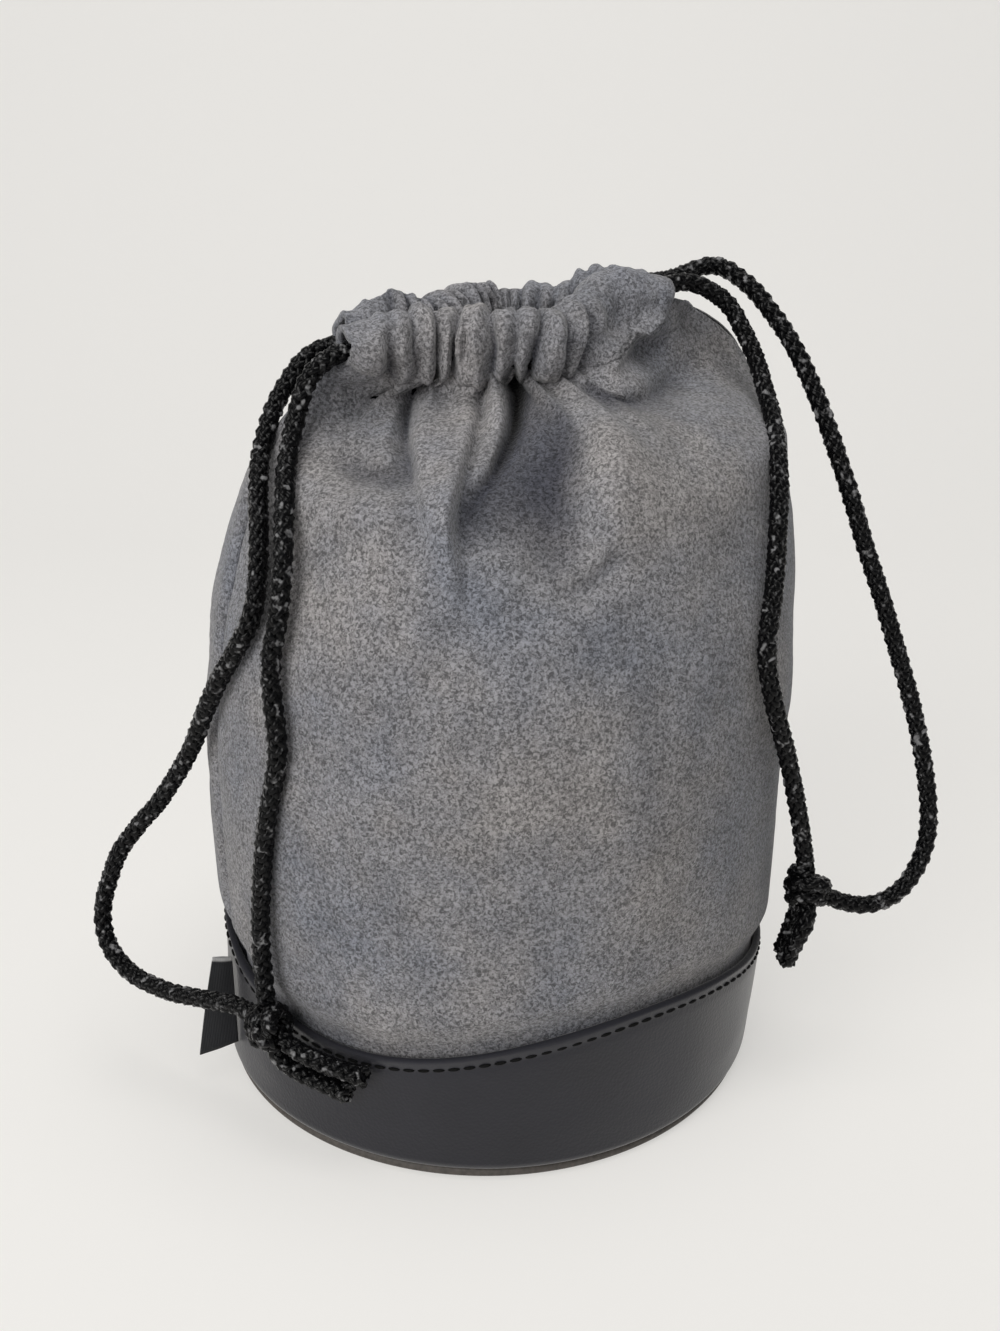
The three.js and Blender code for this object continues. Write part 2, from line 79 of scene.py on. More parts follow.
def add_node(tree, kind, settings=None, **wires):
    """A node with its settings. Each input, by its name or as i and its number, is wired or set to a value."""
    made = tree.nodes.new(kind)
    for name, value in (settings or {}).items():
        setattr(made, name, value)
    for name, source in wires.items():
        target = made.inputs[int(name[1:])] if name[0] == "i" and name[1:].isdigit() else made.inputs[name]
        if isinstance(source, bpy.types.NodeSocket):
            tree.links.new(source, target)
        else:
            target.default_value = source
    return made


def number(tree, how, *parts):
    """A sum over numbers, each an output or a value."""
    wires = {f"i{place}": part for place, part in enumerate(parts)}
    return add_node(tree, "ShaderNodeMath", {"operation": how}, **wires).outputs[0]


def finish_of(name, **values):
    """A new material, its nodes and its surface shader, with values for inputs named with _ for each space."""
    made = bpy.data.materials.new(name)
    made.use_nodes = True
    shader = made.node_tree.nodes["Principled BSDF"]
    for key, value in values.items():
        shader.inputs[key.replace("_", " ")].default_value = value
    return made, made.node_tree, shader


def mesh_of(name, points, faces, uvs=None):
    """A smooth mesh of quads and triangles, with one UV pair for each point."""
    mesh = bpy.data.meshes.new(name)
    mesh.from_pydata([tuple(p) for p in points], [], [tuple(f) for f in faces])
    mesh.polygons.foreach_set("use_smooth", [True] * len(mesh.polygons))
    if uvs is not None:
        corner = np.empty(len(mesh.loops), dtype=np.int32)
        mesh.loops.foreach_get("vertex_index", corner)
        layer = mesh.uv_layers.new(name="UVMap")
        layer.data.foreach_set("uv", np.asarray(uvs, dtype=np.float32)[corner].ravel())
    mesh.update()
    return mesh


floor_profile = [(FLOOR_FRONT, 0.0), (-0.6, 0.0), (0.0, 0.0), (SWEEP_START, 0.0)]
for step in range(1, SWEEP_STEPS + 1):
    angle = math.pi / 2 * step / SWEEP_STEPS
    floor_profile.append(
        (SWEEP_START + SWEEP_RADIUS * math.sin(angle), SWEEP_RADIUS * (1 - math.cos(angle)))
    )
floor_profile.append((SWEEP_START + SWEEP_RADIUS, SWEEP_TOP))
floor_points = []
for away, height in floor_profile:
    for across in (-FLOOR_HALF_WIDTH, FLOOR_HALF_WIDTH):
        x = math.cos(VIEW_TURN) * across - math.sin(VIEW_TURN) * away
        y = math.sin(VIEW_TURN) * across + math.cos(VIEW_TURN) * away
        floor_points.append((x, y, height))
floor_faces = [(2 * i, 2 * i + 1, 2 * i + 3, 2 * i + 2) for i in range(len(floor_profile) - 1)]
floor = put("floor", mesh_of("floor", floor_points, floor_faces))
floor_finish, floor_nodes, floor_shader = finish_of(
    "pale floor", Base_Color=FLOOR_COLOUR, Roughness=0.9, Specular_IOR_Level=0.1
)
floor_glow = add_node(floor_nodes, "ShaderNodeEmission", Color=FLOOR_GLOW)
rays = add_node(floor_nodes, "ShaderNodeLightPath").outputs
floor_seen = number(floor_nodes, "MAXIMUM", rays["Is Camera Ray"], rays["Is Glossy Ray"])
floor_mix = add_node(
    floor_nodes,
    "ShaderNodeMixShader",
    i0=number(floor_nodes, "MULTIPLY", floor_seen, FLOOR_GLOW_SHARE),
    i1=floor_shader.outputs[0],
    i2=floor_glow.outputs[0],
)
floor_nodes.links.new(floor_mix.outputs[0], floor_nodes.nodes["Material Output"].inputs["Surface"])
floor.data.materials.append(floor_finish)

world = bpy.data.worlds.new("soft room light")
scene.world = world
world.use_nodes = True
world_nodes = world.node_tree
room_light = world_nodes.nodes["Background"]
room_light.inputs["Color"].default_value = ROOM_COLOUR
room_light.inputs["Strength"].default_value = ROOM_STRENGTH
far_wall = add_node(world_nodes, "ShaderNodeBackground", Color=WALL_COLOUR)
world_mix = add_node(
    world_nodes,
    "ShaderNodeMixShader",
    i0=add_node(world_nodes, "ShaderNodeLightPath").outputs["Is Camera Ray"],
    i1=room_light.outputs[0],
    i2=far_wall.outputs[0],
)
world_nodes.links.new(world_mix.outputs[0], world_nodes.nodes["World Output"].inputs["Surface"])

for name, place, size, power in (
    ("window", (-0.85, -0.5, 0.55), 0.75, 7.3),
    ("ceiling", (0.08, -0.12, 1.2), 0.7, 5.2),
):
    lamp = bpy.data.lights.new(name, "AREA")
    lamp.size = size
    lamp.energy = power
    lamp.color = LAMP_COLOUR
    lamp_object = put(name, lamp)
    lamp_object.location = place
    lamp_object.rotation_euler = (LAMP_AIM - Vector(place)).to_track_quat("-Z", "Y").to_euler()

camera = bpy.data.cameras.new("camera")
camera.lens = CAMERA_LENS
camera.sensor_width = 36
camera.clip_start = 0.01
camera_object = put("camera", camera)
camera_object.location = CAMERA_AT
camera_object.rotation_euler = (VIEW_PITCH, 0, VIEW_TURN)
scene.camera = camera_object

# The form that every piece of the bag follows: a round base that keeps its girth to the waist and is drawn in
# to a narrow mouth. Half width across the side seams, half depth, and the lean of the section, by height.
HEIGHTS = np.array([0, 28, 70, 98, 122, 143, 152]) * mm
HALF_WIDTHS = np.array([61, 62.2, 63.5, 63, 60, 53, 36]) * mm
HALF_DEPTHS = np.array([61, 61.5, 61, 58, 50, 37, 14]) * mm
LEANS = np.array([0, 1.8, 2.4, 4.2, 6.5, 9.5, 7]) * mm


def eased(values, low, high):
    """A soft step from 0 at low to 1 at high."""
    share = np.clip((np.asarray(values, dtype=float) - low) / (high - low), 0, 1)
    return share * share * (3 - 2 * share)


def curve_through(places, values, slopes, where):
    """Values at places along a smooth curve through the known ones, with its known slopes there."""
    i = np.clip(np.searchsorted(places, where, side="right") - 1, 0, len(places) - 2)
    gap = places[i + 1] - places[i]
    t = (where - places[i]) / gap
    if values.ndim > 1:
        gap, t = gap[:, None], t[:, None]
    return (
        values[i] * (2 * t**3 - 3 * t**2 + 1)
        + values[i + 1] * (3 * t**2 - 2 * t**3)
        + gap * (slopes[i] * (t**3 - 2 * t**2 + t) + slopes[i + 1] * (t**3 - t**2))
    )


def by_height(height, sizes):
    """A size of the bag's section at a height, on a smooth curve that steepens at the mouth."""
    slope = np.empty_like(sizes)
    slope[1:-1] = (sizes[2:] - sizes[:-2]) / (HEIGHTS[2:] - HEIGHTS[:-2])
    slope[0] = (sizes[1] - sizes[0]) / (HEIGHTS[1] - HEIGHTS[0])
    slope[-1] = 1.4 * (sizes[-1] - sizes[-2]) / (HEIGHTS[-1] - HEIGHTS[-2])
    return curve_through(HEIGHTS, sizes, slope, height)


def round_point(angle, height, inwards):
    """Points on the round of the base, off its outside by a distance inwards."""
    x = (by_height(height, HALF_WIDTHS) - inwards) * np.cos(angle) + by_height(height, LEANS)
    y = (by_height(height, HALF_DEPTHS) - inwards) * np.sin(angle)
    return np.stack(np.broadcast_arrays(x, y, height), axis=-1)


def ring_faces(rings, count, wrap=False):
    """Quads between rows of points, each row a closed loop. With wrap the last row also meets the first."""
    faces = []
    for i in range(rings if wrap else rings - 1):
        a, b = i * count, (i + 1) % rings * count
        for j in range(count):
            k = (j + 1) % count
            faces.append((a + j, a + k, b + k, b + j))
    return faces


def noise_at(points, size, seed):
    """Soft noise from -1 to 1 at each point, with lumps of about a size."""
    shift = Vector((seed * 3.1, seed * 1.7, seed * 2.3))
    flat = points.reshape(-1, 3) / size
    return np.array([noise.noise(Vector(p) + shift) for p in flat]).reshape(points.shape[:-1])


# The base panel: a round of stiff brown-grey leatherette that the pouch stands on. Its cut edge shows as a thin
# rim under the band. The foam pad and the brushed lining lie on it, inside the band.
BASE_EDGE_RADIUS = 60.2 * mm
BASE_THICKNESS = 2.2 * mm
INNER_RADIUS = 59.1 * mm
PAD_BOTTOM = 4.4 * mm
PAD_THICKNESS = 5 * mm
LINING_BOTTOM = 9.7 * mm
LINING_THICKNESS = 1 * mm
LINING_CROWN = 0.4 * mm
LINING_LUMPS = 0.3 * mm
LINING_LUMP_SIZE = 12 * mm
LINING_SEED = 3
ROUND_STEPS = 192


def texture(nodes, kind, scale, **inputs):
    """The value of a texture on the piece's own coordinates."""
    place = nodes.nodes.get("Texture Coordinate") or nodes.nodes.new("ShaderNodeTexCoord")
    made = add_node(nodes, "ShaderNodeTex" + kind, Vector=place.outputs["Object"], Scale=scale, **inputs)
    return made.outputs["Distance" if kind == "Voronoi" else "Fac"]


def ramp(nodes, source, *stops):
    """A colour ramp over a value, with stops of place and colour."""
    made = nodes.nodes.new("ShaderNodeValToRGB")
    marks = made.color_ramp.elements
    while len(marks) < len(stops):
        marks.new(0.5)
    for element, (place, colour) in zip(marks, stops):
        element.position = place
        element.color = (*colour, 1)
    nodes.links.new(source, made.inputs["Fac"])
    return made.outputs["Color"]


def raised(nodes, shader, height, distance, strength, below=None):
    """A bump of a height over the surface, on top of another bump."""
    made = add_node(nodes, "ShaderNodeBump", Distance=distance, Strength=strength, Height=height)
    if below is not None:
        nodes.links.new(below, made.inputs["Normal"])
    nodes.links.new(made.outputs["Normal"], shader.inputs["Normal"])
    return made.outputs["Normal"]


def grey(value):
    """A colour with no hue."""
    return (value, value, value)


def disc_piece(name, radius, bottom, thickness, crown=0, lumps=0):
    """A round of sheet with a rounded edge, and a top that can be crowned and slightly uneven."""
    half = thickness / 2
    profile = [(radius * share, bottom) for share in (0.02, 0.25, 0.5, 0.75, 0.92)]
    for step in range(9):
        angle = math.pi * (step / 8 - 0.5)
        profile.append((radius - half + half * math.cos(angle), bottom + half + half * math.sin(angle)))
    for share in (0.96, 0.9, 0.8, 0.65, 0.5, 0.35, 0.2, 0.1, 0.02):
        profile.append((radius * share, bottom + thickness))
    rows = []
    angles = np.linspace(0, 2 * np.pi, ROUND_STEPS, endpoint=False)
    for reach, height in profile:
        lift = crown * (1 - (reach / radius) ** 2) if height >= bottom + thickness else 0
        points = np.stack(
            np.broadcast_arrays(reach * np.cos(angles), reach * np.sin(angles), height + lift), axis=-1
        )
        if lift:
            points[:, 2] += lumps * noise_at(points, LINING_LUMP_SIZE, LINING_SEED)
        rows.append(points)
    points = np.concatenate(rows)
    faces = ring_faces(len(rows), ROUND_STEPS)
    faces.append(tuple(reversed(range(ROUND_STEPS))))
    faces.append(tuple(range(len(points) - ROUND_STEPS, len(points))))
    return put(name, mesh_of(name, points, faces))


base_finish, base_nodes, base_shader = finish_of("base leatherette", Roughness=0.62)
base_grain = texture(base_nodes, "Noise", 900, Detail=3)
base_colour = ramp(base_nodes, base_grain, (0.3, (0.055, 0.048, 0.043)), (0.7, (0.1, 0.088, 0.078)))
base_nodes.links.new(base_colour, base_shader.inputs["Base Color"])
raised(base_nodes, base_shader, base_grain, 0.2 * mm, 0.5)
base_round = disc_piece("base_round", BASE_EDGE_RADIUS, 0, BASE_THICKNESS)
base_round.data.materials.append(base_finish)
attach(base_round, "pouch")
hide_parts("base_panel")

pad_finish, pad_nodes, pad_shader = finish_of("pad foam", Roughness=0.95)
pad_cells = texture(pad_nodes, "Voronoi", 1100)
pad_colour = ramp(pad_nodes, pad_cells, (0.1, grey(0.05)), (0.8, grey(0.12)))
pad_nodes.links.new(pad_colour, pad_shader.inputs["Base Color"])
raised(pad_nodes, pad_shader, pad_cells, 0.3 * mm, 0.6)
base_foam = disc_piece("base_foam", INNER_RADIUS, PAD_BOTTOM, PAD_THICKNESS)
base_foam.data.materials.append(pad_finish)
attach(base_foam, "pouch")
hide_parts("base_pad")

lining_finish, lining_nodes, lining_shader = finish_of("brushed lining", Roughness=0.95, Sheen_Weight=0.3)
lining_nap = texture(lining_nodes, "Noise", 1400, Detail=4)
lining_colour = ramp(lining_nodes, lining_nap, (0.3, grey(0.1)), (0.7, grey(0.18)))
lining_nodes.links.new(lining_colour, lining_shader.inputs["Base Color"])
raised(lining_nodes, lining_shader, lining_nap, 0.2 * mm, 0.5)
lining_round = disc_piece(
    "lining_round", INNER_RADIUS, LINING_BOTTOM, LINING_THICKNESS, LINING_CROWN, LINING_LUMPS
)
lining_round.data.materials.append(lining_finish)
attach(lining_round, "pouch")
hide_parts("base_lining")

# The base band: a strip of satin charcoal leatherette, cut with a wavy top edge that is turned over, topstitched
# to the suede, and turned in under the pad at the bottom.
BAND_HEIGHT = 30.5 * mm
BAND_WAVE = 4.2 * mm
BAND_WAVE_COUNT = 3
BAND_WAVE_TURN = math.radians(247)
BAND_WALL = 1.6 * mm
BAND_ROUND = BAND_WALL / 2
BAND_TURN_IN = 7 * mm
BAND_INNER_FOOT = 4.1 * mm
BAND_LUMPS = 0.35 * mm
BAND_LUMP_SIZE = 16 * mm
BAND_SEED = 5
BAND_STEPS = 288
BAND_ROWS = 26
EDGE_STEPS = 7
INNER_ROWS = 8
STITCH_DROP = 2.3 * mm
STITCH_PULL = 0.25 * mm
STITCH_DENT = 0.9 * mm
# The foot of the band from the turned-in edge outwards, as (inwards, height) in mm, and where the wall starts.
FOOT_TOP = 5.4
FOOT_PROFILE = (
    (7, 2.5), (4.5, 2.5), (1.6, 2.5), (0.7, 2.58), (0.25, 2.85), (0.05, 3.3), (0, 3.8), (0, 4.4), (0, 5)
)


def band_top(angle):
    """The height of the band's wavy edge at an angle round the base."""
    return BAND_HEIGHT + BAND_WAVE * np.sin(BAND_WAVE_COUNT * (angle - BAND_WAVE_TURN))


band_angles = np.linspace(0, 2 * np.pi, BAND_STEPS, endpoint=False)
band_tops = band_top(band_angles)
# Each row has a mark for the material: up to 0.1 on the foot, to 0.9 up the wall, to 0.97 over the edge, then inside.
band_rows, band_marks = [], []
for inwards, height in FOOT_PROFILE:
    band_rows.append(round_point(band_angles, np.full(BAND_STEPS, height * mm), inwards * mm))
    band_marks.append(0.1 * height / FOOT_TOP)
for share in np.linspace(0.06, 1, BAND_ROWS):
    heights = FOOT_TOP * mm + (band_tops - BAND_ROUND - FOOT_TOP * mm) * share
    pull = STITCH_PULL * np.exp(-(((band_tops - heights - STITCH_DROP) / STITCH_DENT) ** 2))
    middle = round_point(band_angles, heights, pull)
    lumps = BAND_LUMPS * eased(share, 0, 0.3) * noise_at(middle, BAND_LUMP_SIZE, BAND_SEED)
    band_rows.append(round_point(band_angles, heights, pull - lumps))
    band_marks.append(0.1 + 0.8 * share)
for step in range(1, EDGE_STEPS + 1):
    turn = math.pi * step / EDGE_STEPS
    heights = band_tops - BAND_ROUND + BAND_ROUND * math.sin(turn)
    band_rows.append(round_point(band_angles, heights, BAND_ROUND * (1 - math.cos(turn))))
    band_marks.append(0.9 + 0.07 * step / EDGE_STEPS)
for share in np.linspace(0.9, 0, INNER_ROWS):
    heights = BAND_INNER_FOOT + (band_tops - BAND_ROUND - BAND_INNER_FOOT) * share
    band_rows.append(round_point(band_angles, heights, BAND_WALL))
    band_marks.append(0.98)
band_rows.append(round_point(band_angles, np.full(BAND_STEPS, BAND_INNER_FOOT), BAND_TURN_IN))
band_marks.append(0.98)
band_faces = ring_faces(len(band_rows), BAND_STEPS, wrap=True)
band_uv = [(j / BAND_STEPS, mark) for mark in band_marks for j in range(BAND_STEPS)]
band = put("band", mesh_of("band", np.concatenate(band_rows), band_faces, band_uv))


def tinted(nodes, colour, other, how="MULTIPLY", share=1.0):
    """Two colours mixed in one way."""
    settings = {"data_type": "RGBA", "blend_type": how}
    return add_node(nodes, "ShaderNodeMix", settings, Factor=share, A=colour, B=other).outputs["Result"]


def second_mark(nodes):
    """The second number of the UV pair at each place on a piece."""
    place = add_node(nodes, "ShaderNodeUVMap", {"uv_map": "UVMap"})
    return add_node(nodes, "ShaderNodeSeparateXYZ", Vector=place.outputs["UV"]).outputs["Y"]


band_finish, band_nodes, band_shader = finish_of(
    "charcoal leatherette", Specular_IOR_Level=0.44, Sheen_Weight=0.3, Sheen_Roughness=0.35
)
band_patches = texture(band_nodes, "Noise", 45, Detail=3)
band_grain = texture(band_nodes, "Voronoi", 1500)
band_fine = texture(band_nodes, "Noise", 2600, Detail=2)
band_colour = ramp(band_nodes, band_patches, (0.3, (0.007, 0.007, 0.012)), (0.7, (0.012, 0.012, 0.019)))
band_mark = second_mark(band_nodes)
# Painted highlight: a pale line along the band's turned-under bottom fold stands in for the light it catches there. A
# faint lighter strip also runs just under the top edge, above the stitches.
band_highlight_and_top_strip = ramp(
    band_nodes,
    band_mark,
    (0.0, grey(0.3)),
    (0.06, grey(0.12)),
    (0.075, grey(0.0)),
    (0.83, grey(0.0)),
    (0.86, grey(0.05)),
    (0.895, grey(0.05)),
    (0.91, grey(0.0)),
)
band_colour_with_highlight = tinted(band_nodes, band_colour, band_highlight_and_top_strip, how="ADD", share=0.35)
band_nodes.links.new(band_colour_with_highlight, band_shader.inputs["Base Color"])
band_rough = ramp(band_nodes, band_patches, (0.3, grey(0.34)), (0.7, grey(0.44)))
band_cut = ramp(band_nodes, band_mark, (0.895, grey(0.0)), (0.915, grey(0.4)))
band_dull = tinted(band_nodes, band_rough, band_cut, how="ADD")
band_nodes.links.new(band_dull, band_shader.inputs["Roughness"])
band_low = raised(band_nodes, band_shader, band_grain, 0.12 * mm, 0.35)
raised(band_nodes, band_shader, band_fine, 0.06 * mm, 0.3, band_low)
band.data.materials.append(band_finish)
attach(band, "pouch")
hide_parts("base_band")

# The topstitch: a row of short dark thread stitches round the band, a little under its top edge. Each stitch is
# a small bead of thread that sinks into the leatherette at both ends.
STITCH_PITCH = 3.1 * mm
STITCH_LENGTH = 2.5 * mm
THREAD_RADIUS = 0.36 * mm
THREAD_SINK = 0.12 * mm
TOPSTITCH_POINTS = 400


def socket_in(tree, name, kind, value=None):
    """A new named input of a tree."""
    made = tree.interface.new_socket(name, in_out="INPUT", socket_type=kind)
    if value is not None:
        made.default_value = value


def new_tree(name):
    """An empty node tree that takes a path and gives back a mesh, with its two end nodes."""
    tree = bpy.data.node_groups.new(name, "GeometryNodeTree")
    socket_in(tree, "Path", "NodeSocketGeometry")
    tree.interface.new_socket("Mesh", in_out="OUTPUT", socket_type="NodeSocketGeometry")
    return tree, tree.nodes.new("NodeGroupInput"), tree.nodes.new("NodeGroupOutput")


def given_out(tree, leave, mesh, finish):
    """Ends a tree: the mesh it has made becomes real, smooth and dressed in its finish."""
    real = add_node(tree, "GeometryNodeRealizeInstances", i0=mesh)
    soft = add_node(tree, "GeometryNodeSetShadeSmooth", i0=real.outputs[0])
    dressed = add_node(tree, "GeometryNodeSetMaterial", Geometry=soft.outputs[0], Material=finish)
    tree.links.new(dressed.outputs[0], leave.inputs[0])


def stitch_tree():
    """Stitches along a path: a bead of thread at each pitch, turned along the path."""
    tree, entry, leave = new_tree("stitches")
    for name, value in (("Pitch", STITCH_PITCH), ("Length", STITCH_LENGTH), ("Thread radius", THREAD_RADIUS)):
        socket_in(tree, name, "NodeSocketFloat", value)
    socket_in(tree, "Finish", "NodeSocketMaterial")
    given = entry.outputs
    path = add_node(tree, "GeometryNodeMeshToCurve", i0=given["Path"])
    spaced = add_node(
        tree, "GeometryNodeResampleCurve", {"mode": "LENGTH"}, Curve=path.outputs[0], Length=given["Pitch"]
    )
    along = add_node(tree, "GeometryNodeInputTangent")
    turned = add_node(tree, "FunctionNodeAlignRotationToVector", {"axis": "X"}, Vector=along.outputs[0])
    bead = add_node(tree, "GeometryNodeMeshUVSphere", i0=8, i1=6, i2=0.5)
    thick = number(tree, "MULTIPLY", given["Thread radius"], 2.0)
    size = add_node(tree, "ShaderNodeCombineXYZ", X=given["Length"], Y=thick, Z=thick)
    placed = add_node(
        tree,
        "GeometryNodeInstanceOnPoints",
        Points=spaced.outputs[0],
        Instance=bead.outputs["Mesh"],
        Rotation=turned.outputs[0],
        Scale=size.outputs[0],
    )
    given_out(tree, leave, placed.outputs[0], given["Finish"])
    return tree


def made_along(name, tree, points, closed=False, **inputs):
    """A plain mesh piece that a tree makes along a row of points."""
    path = bpy.data.meshes.new(name + "_path")
    count = len(points)
    edges = [(i, (i + 1) % count) for i in range(count if closed else count - 1)]
    path.from_pydata([tuple(p) for p in points], edges, [])
    source = put(name + "_path", path)
    modifier = source.modifiers.new("make", "NODES")
    modifier.node_group = tree
    for item in tree.interface.items_tree:
        wanted = item.name.replace(" ", "_").lower()
        if item.item_type == "SOCKET" and item.in_out == "INPUT" and wanted in inputs:
            modifier[item.identifier] = inputs[wanted]
    graph = bpy.context.evaluated_depsgraph_get()
    mesh = bpy.data.meshes.new_from_object(source.evaluated_get(graph), depsgraph=graph)
    mesh.name = name
    bpy.data.objects.remove(source)
    bpy.data.meshes.remove(path)
    return put(name, mesh)


thread_finish, thread_nodes, thread_shader = finish_of("dark thread", Roughness=0.7, Specular_IOR_Level=0.12)
thread_twist = texture(thread_nodes, "Noise", 3200, Detail=1)
thread_colour = ramp(thread_nodes, thread_twist, (0.3, grey(0.002)), (0.7, grey(0.005)))
thread_nodes.links.new(thread_colour, thread_shader.inputs["Base Color"])
raised(thread_nodes, thread_shader, thread_twist, 0.1 * mm, 0.5)
stitches = stitch_tree()
topstitch_angles = np.linspace(0, 2 * np.pi, TOPSTITCH_POINTS, endpoint=False)
topstitch_path = round_point(
    topstitch_angles, band_top(topstitch_angles) - STITCH_DROP, STITCH_PULL - THREAD_SINK
)
topstitch = made_along("topstitch", stitches, topstitch_path, closed=True, finish=thread_finish)
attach(topstitch, "pouch")

# The suede panels, front and rear: grey split leather with a soft nap, sewn to each other at the side seams and
# tucked into the band. The top of each is folded over and stitched down into a casing, and drawn in by the cords
# into ruffles, with pleats hanging from the stitches.
SUEDE_THICKNESS = 1.3 * mm
SUEDE_TUCK = 8 * mm
STITCH_HEIGHT = 152 * mm
MOUTH_HALF_LENGTH = 36 * mm
MOUTH_BULGE_LENGTH = 42 * mm
MOUTH_RISE = 7 * mm
SEAM_PARTING = 4.5 * mm
BULGE_END = 0.5 + MOUTH_BULGE_LENGTH / (4 * MOUTH_HALF_LENGTH)
PANEL_COLUMNS = 261
BODY_ROWS = 128
CASING_ROWS = 46
CASING_HEIGHT = 13.2 * mm
SCALLOP = 0.45
PLEAT_LEAN = np.array((-0.433, -0.883, 0.18))
RUFFLE_OUT, RUFFLE_IN = 1.35, 1.15
TAG_END_LIFT, FAR_END_LIFT = 4.6 * mm, 6.2 * mm
FAR_END_REACH = 0.5 * mm
LOBE_DEPTH, LOBE_FOOT = 6.6 * mm, 147 * mm
PLEAT_RISE = 0.5
SEAM_SINK, SEAM_WIDTH = 1.6 * mm, 1.5 * mm
BAND_GRIP = BAND_WALL + 1.1 * mm
TIP_WIDTH = 3.4 * mm
TAG_TIP_TUCK, FAR_TIP_TUCK = 3.4 * mm, 2.4 * mm
HOLLOW_RANGE, RUFFLE_RANGE = 16 * mm, 8 * mm
FINE_STEPS = 800
WAIST, SHOULDER, CREST = HEIGHTS[3], HEIGHTS[4], HEIGHTS[5]


def plan_point(side, u, height):
    """Points of the bag's surface: u runs from the tag's seam to the other, side is -1 in front, 1 behind."""
    share = eased(height, (SHOULDER + CREST) / 2, STITCH_HEIGHT)
    parting = SEAM_PARTING * eased(height, STITCH_HEIGHT - 3 * mm, STITCH_HEIGHT)
    depth = by_height(height, HALF_DEPTHS)
    reach = (2 * u - 1) * MOUTH_HALF_LENGTH / (MOUTH_BULGE_LENGTH / 2)
    bulge = np.where(np.abs(reach) < 1, np.cos(np.pi / 2 * np.clip(reach, -1, 1)) ** 2, 0)
    across = (1 - share) * -np.cos(np.pi * u) + share * (2 * u - 1)
    x = by_height(height, HALF_WIDTHS) * across + by_height(height, LEANS)
    y = (1 - share) * depth * np.sin(np.pi * u) + share * (parting + (depth - parting) * bulge)
    z = height + MOUTH_RISE * eased(u, 0.5, BULGE_END) * eased(height, WAIST, STITCH_HEIGHT)
    return np.stack(np.broadcast_arrays(x, side * y, z), axis=-1)


def unit(vectors):
    """The vectors at a length of 1."""
    return vectors / np.maximum(np.linalg.norm(vectors, axis=-1, keepdims=True), 1e-12)


def outward(points, side):
    """The outward direction at each point of a grid of rows upwards and columns along u."""
    up = np.gradient(points, axis=0)
    along = np.gradient(points, axis=1)
    return unit(np.cross(along, up)) * -side


def pleated(columns, levels, lines):
    """How far pleats move a grid of cloth. Each line is a round ridge or a sharp crease that runs up and down the
    cloth, in order along it, with (place along it, level, depth in mm) at each place where it bends."""
    made = np.zeros((len(levels), len(columns)))
    sharp = np.array([kind == "crease" for kind, _ in lines])
    paths = []
    for _, path in lines:
        path = np.array(sorted(path, key=lambda bend: bend[1]), dtype=float)
        paths.append(path)
    for row, level in enumerate(levels):
        places = np.array([np.interp(level, path[:, 1], path[:, 0]) for path in paths])
        depths = np.array([np.interp(level, path[:, 1], path[:, 2]) for path in paths])
        places = np.maximum.accumulate(places + 1e-5 * np.arange(len(places)))
        i = np.clip(np.searchsorted(places, columns, side="right") - 1, 0, len(places) - 2)
        t = np.clip((columns - places[i]) / (places[i + 1] - places[i]), 0, 1)
        before, after = sharp[i], sharp[i + 1]
        bent = np.where(before & ~after, 1 - (1 - t) ** 2, np.where(after & ~before, t**2, t * t * (3 - 2 * t)))
        made[row] = depths[i] + (depths[i + 1] - depths[i]) * bent
    for _ in range(2):
        tall = np.pad(made, ((2, 2), (0, 0)), mode="edge")
        made = (tall[:-4] + 4 * tall[1:-3] + 6 * tall[2:-2] + 4 * tall[3:-1] + tall[4:]) / 16
    wide = np.pad(made, ((0, 0), (1, 1)), mode="edge")
    return (wide[:, :-2] + 2 * wide[:, 1:-1] + wide[:, 2:]) / 4 * mm


def fold_depth(points, u_grid, height_grid, side, line, below_width, above_width):
    """How far a fold moves each point. line has (u, height, depth) at each place along the fold, in mm."""
    line = np.array(line, dtype=float)
    dense = np.linspace(0, len(line) - 1, 8 * (len(line) - 1) + 1)
    u, height, depth = (np.interp(dense, np.arange(len(line)), line[:, i]) for i in range(3))
    spine = plan_point(side, u, height * mm)
    nearest = np.full(points.shape[:-1], np.inf)
    made = np.zeros(points.shape[:-1])
    for i in range(len(spine) - 1):
        leg = spine[i + 1] - spine[i]
        share = np.clip(((points - spine[i]) @ leg) / (leg @ leg), 0, 1)
        gap = np.linalg.norm(points - (spine[i] + share[..., None] * leg), axis=-1)
        du, dh = u[i + 1] - u[i], height[i + 1] - height[i]
        across = (u_grid - u[i]) * dh - (height_grid / mm - height[i]) * du
        width = np.where(across > 0, below_width, above_width) * mm
        here = (depth[i] + share * (depth[i + 1] - depth[i])) * mm * np.exp(-((gap / width) ** 2))
        made = np.where(gap < nearest, here, made)
        nearest = np.minimum(gap, nearest)
    return made


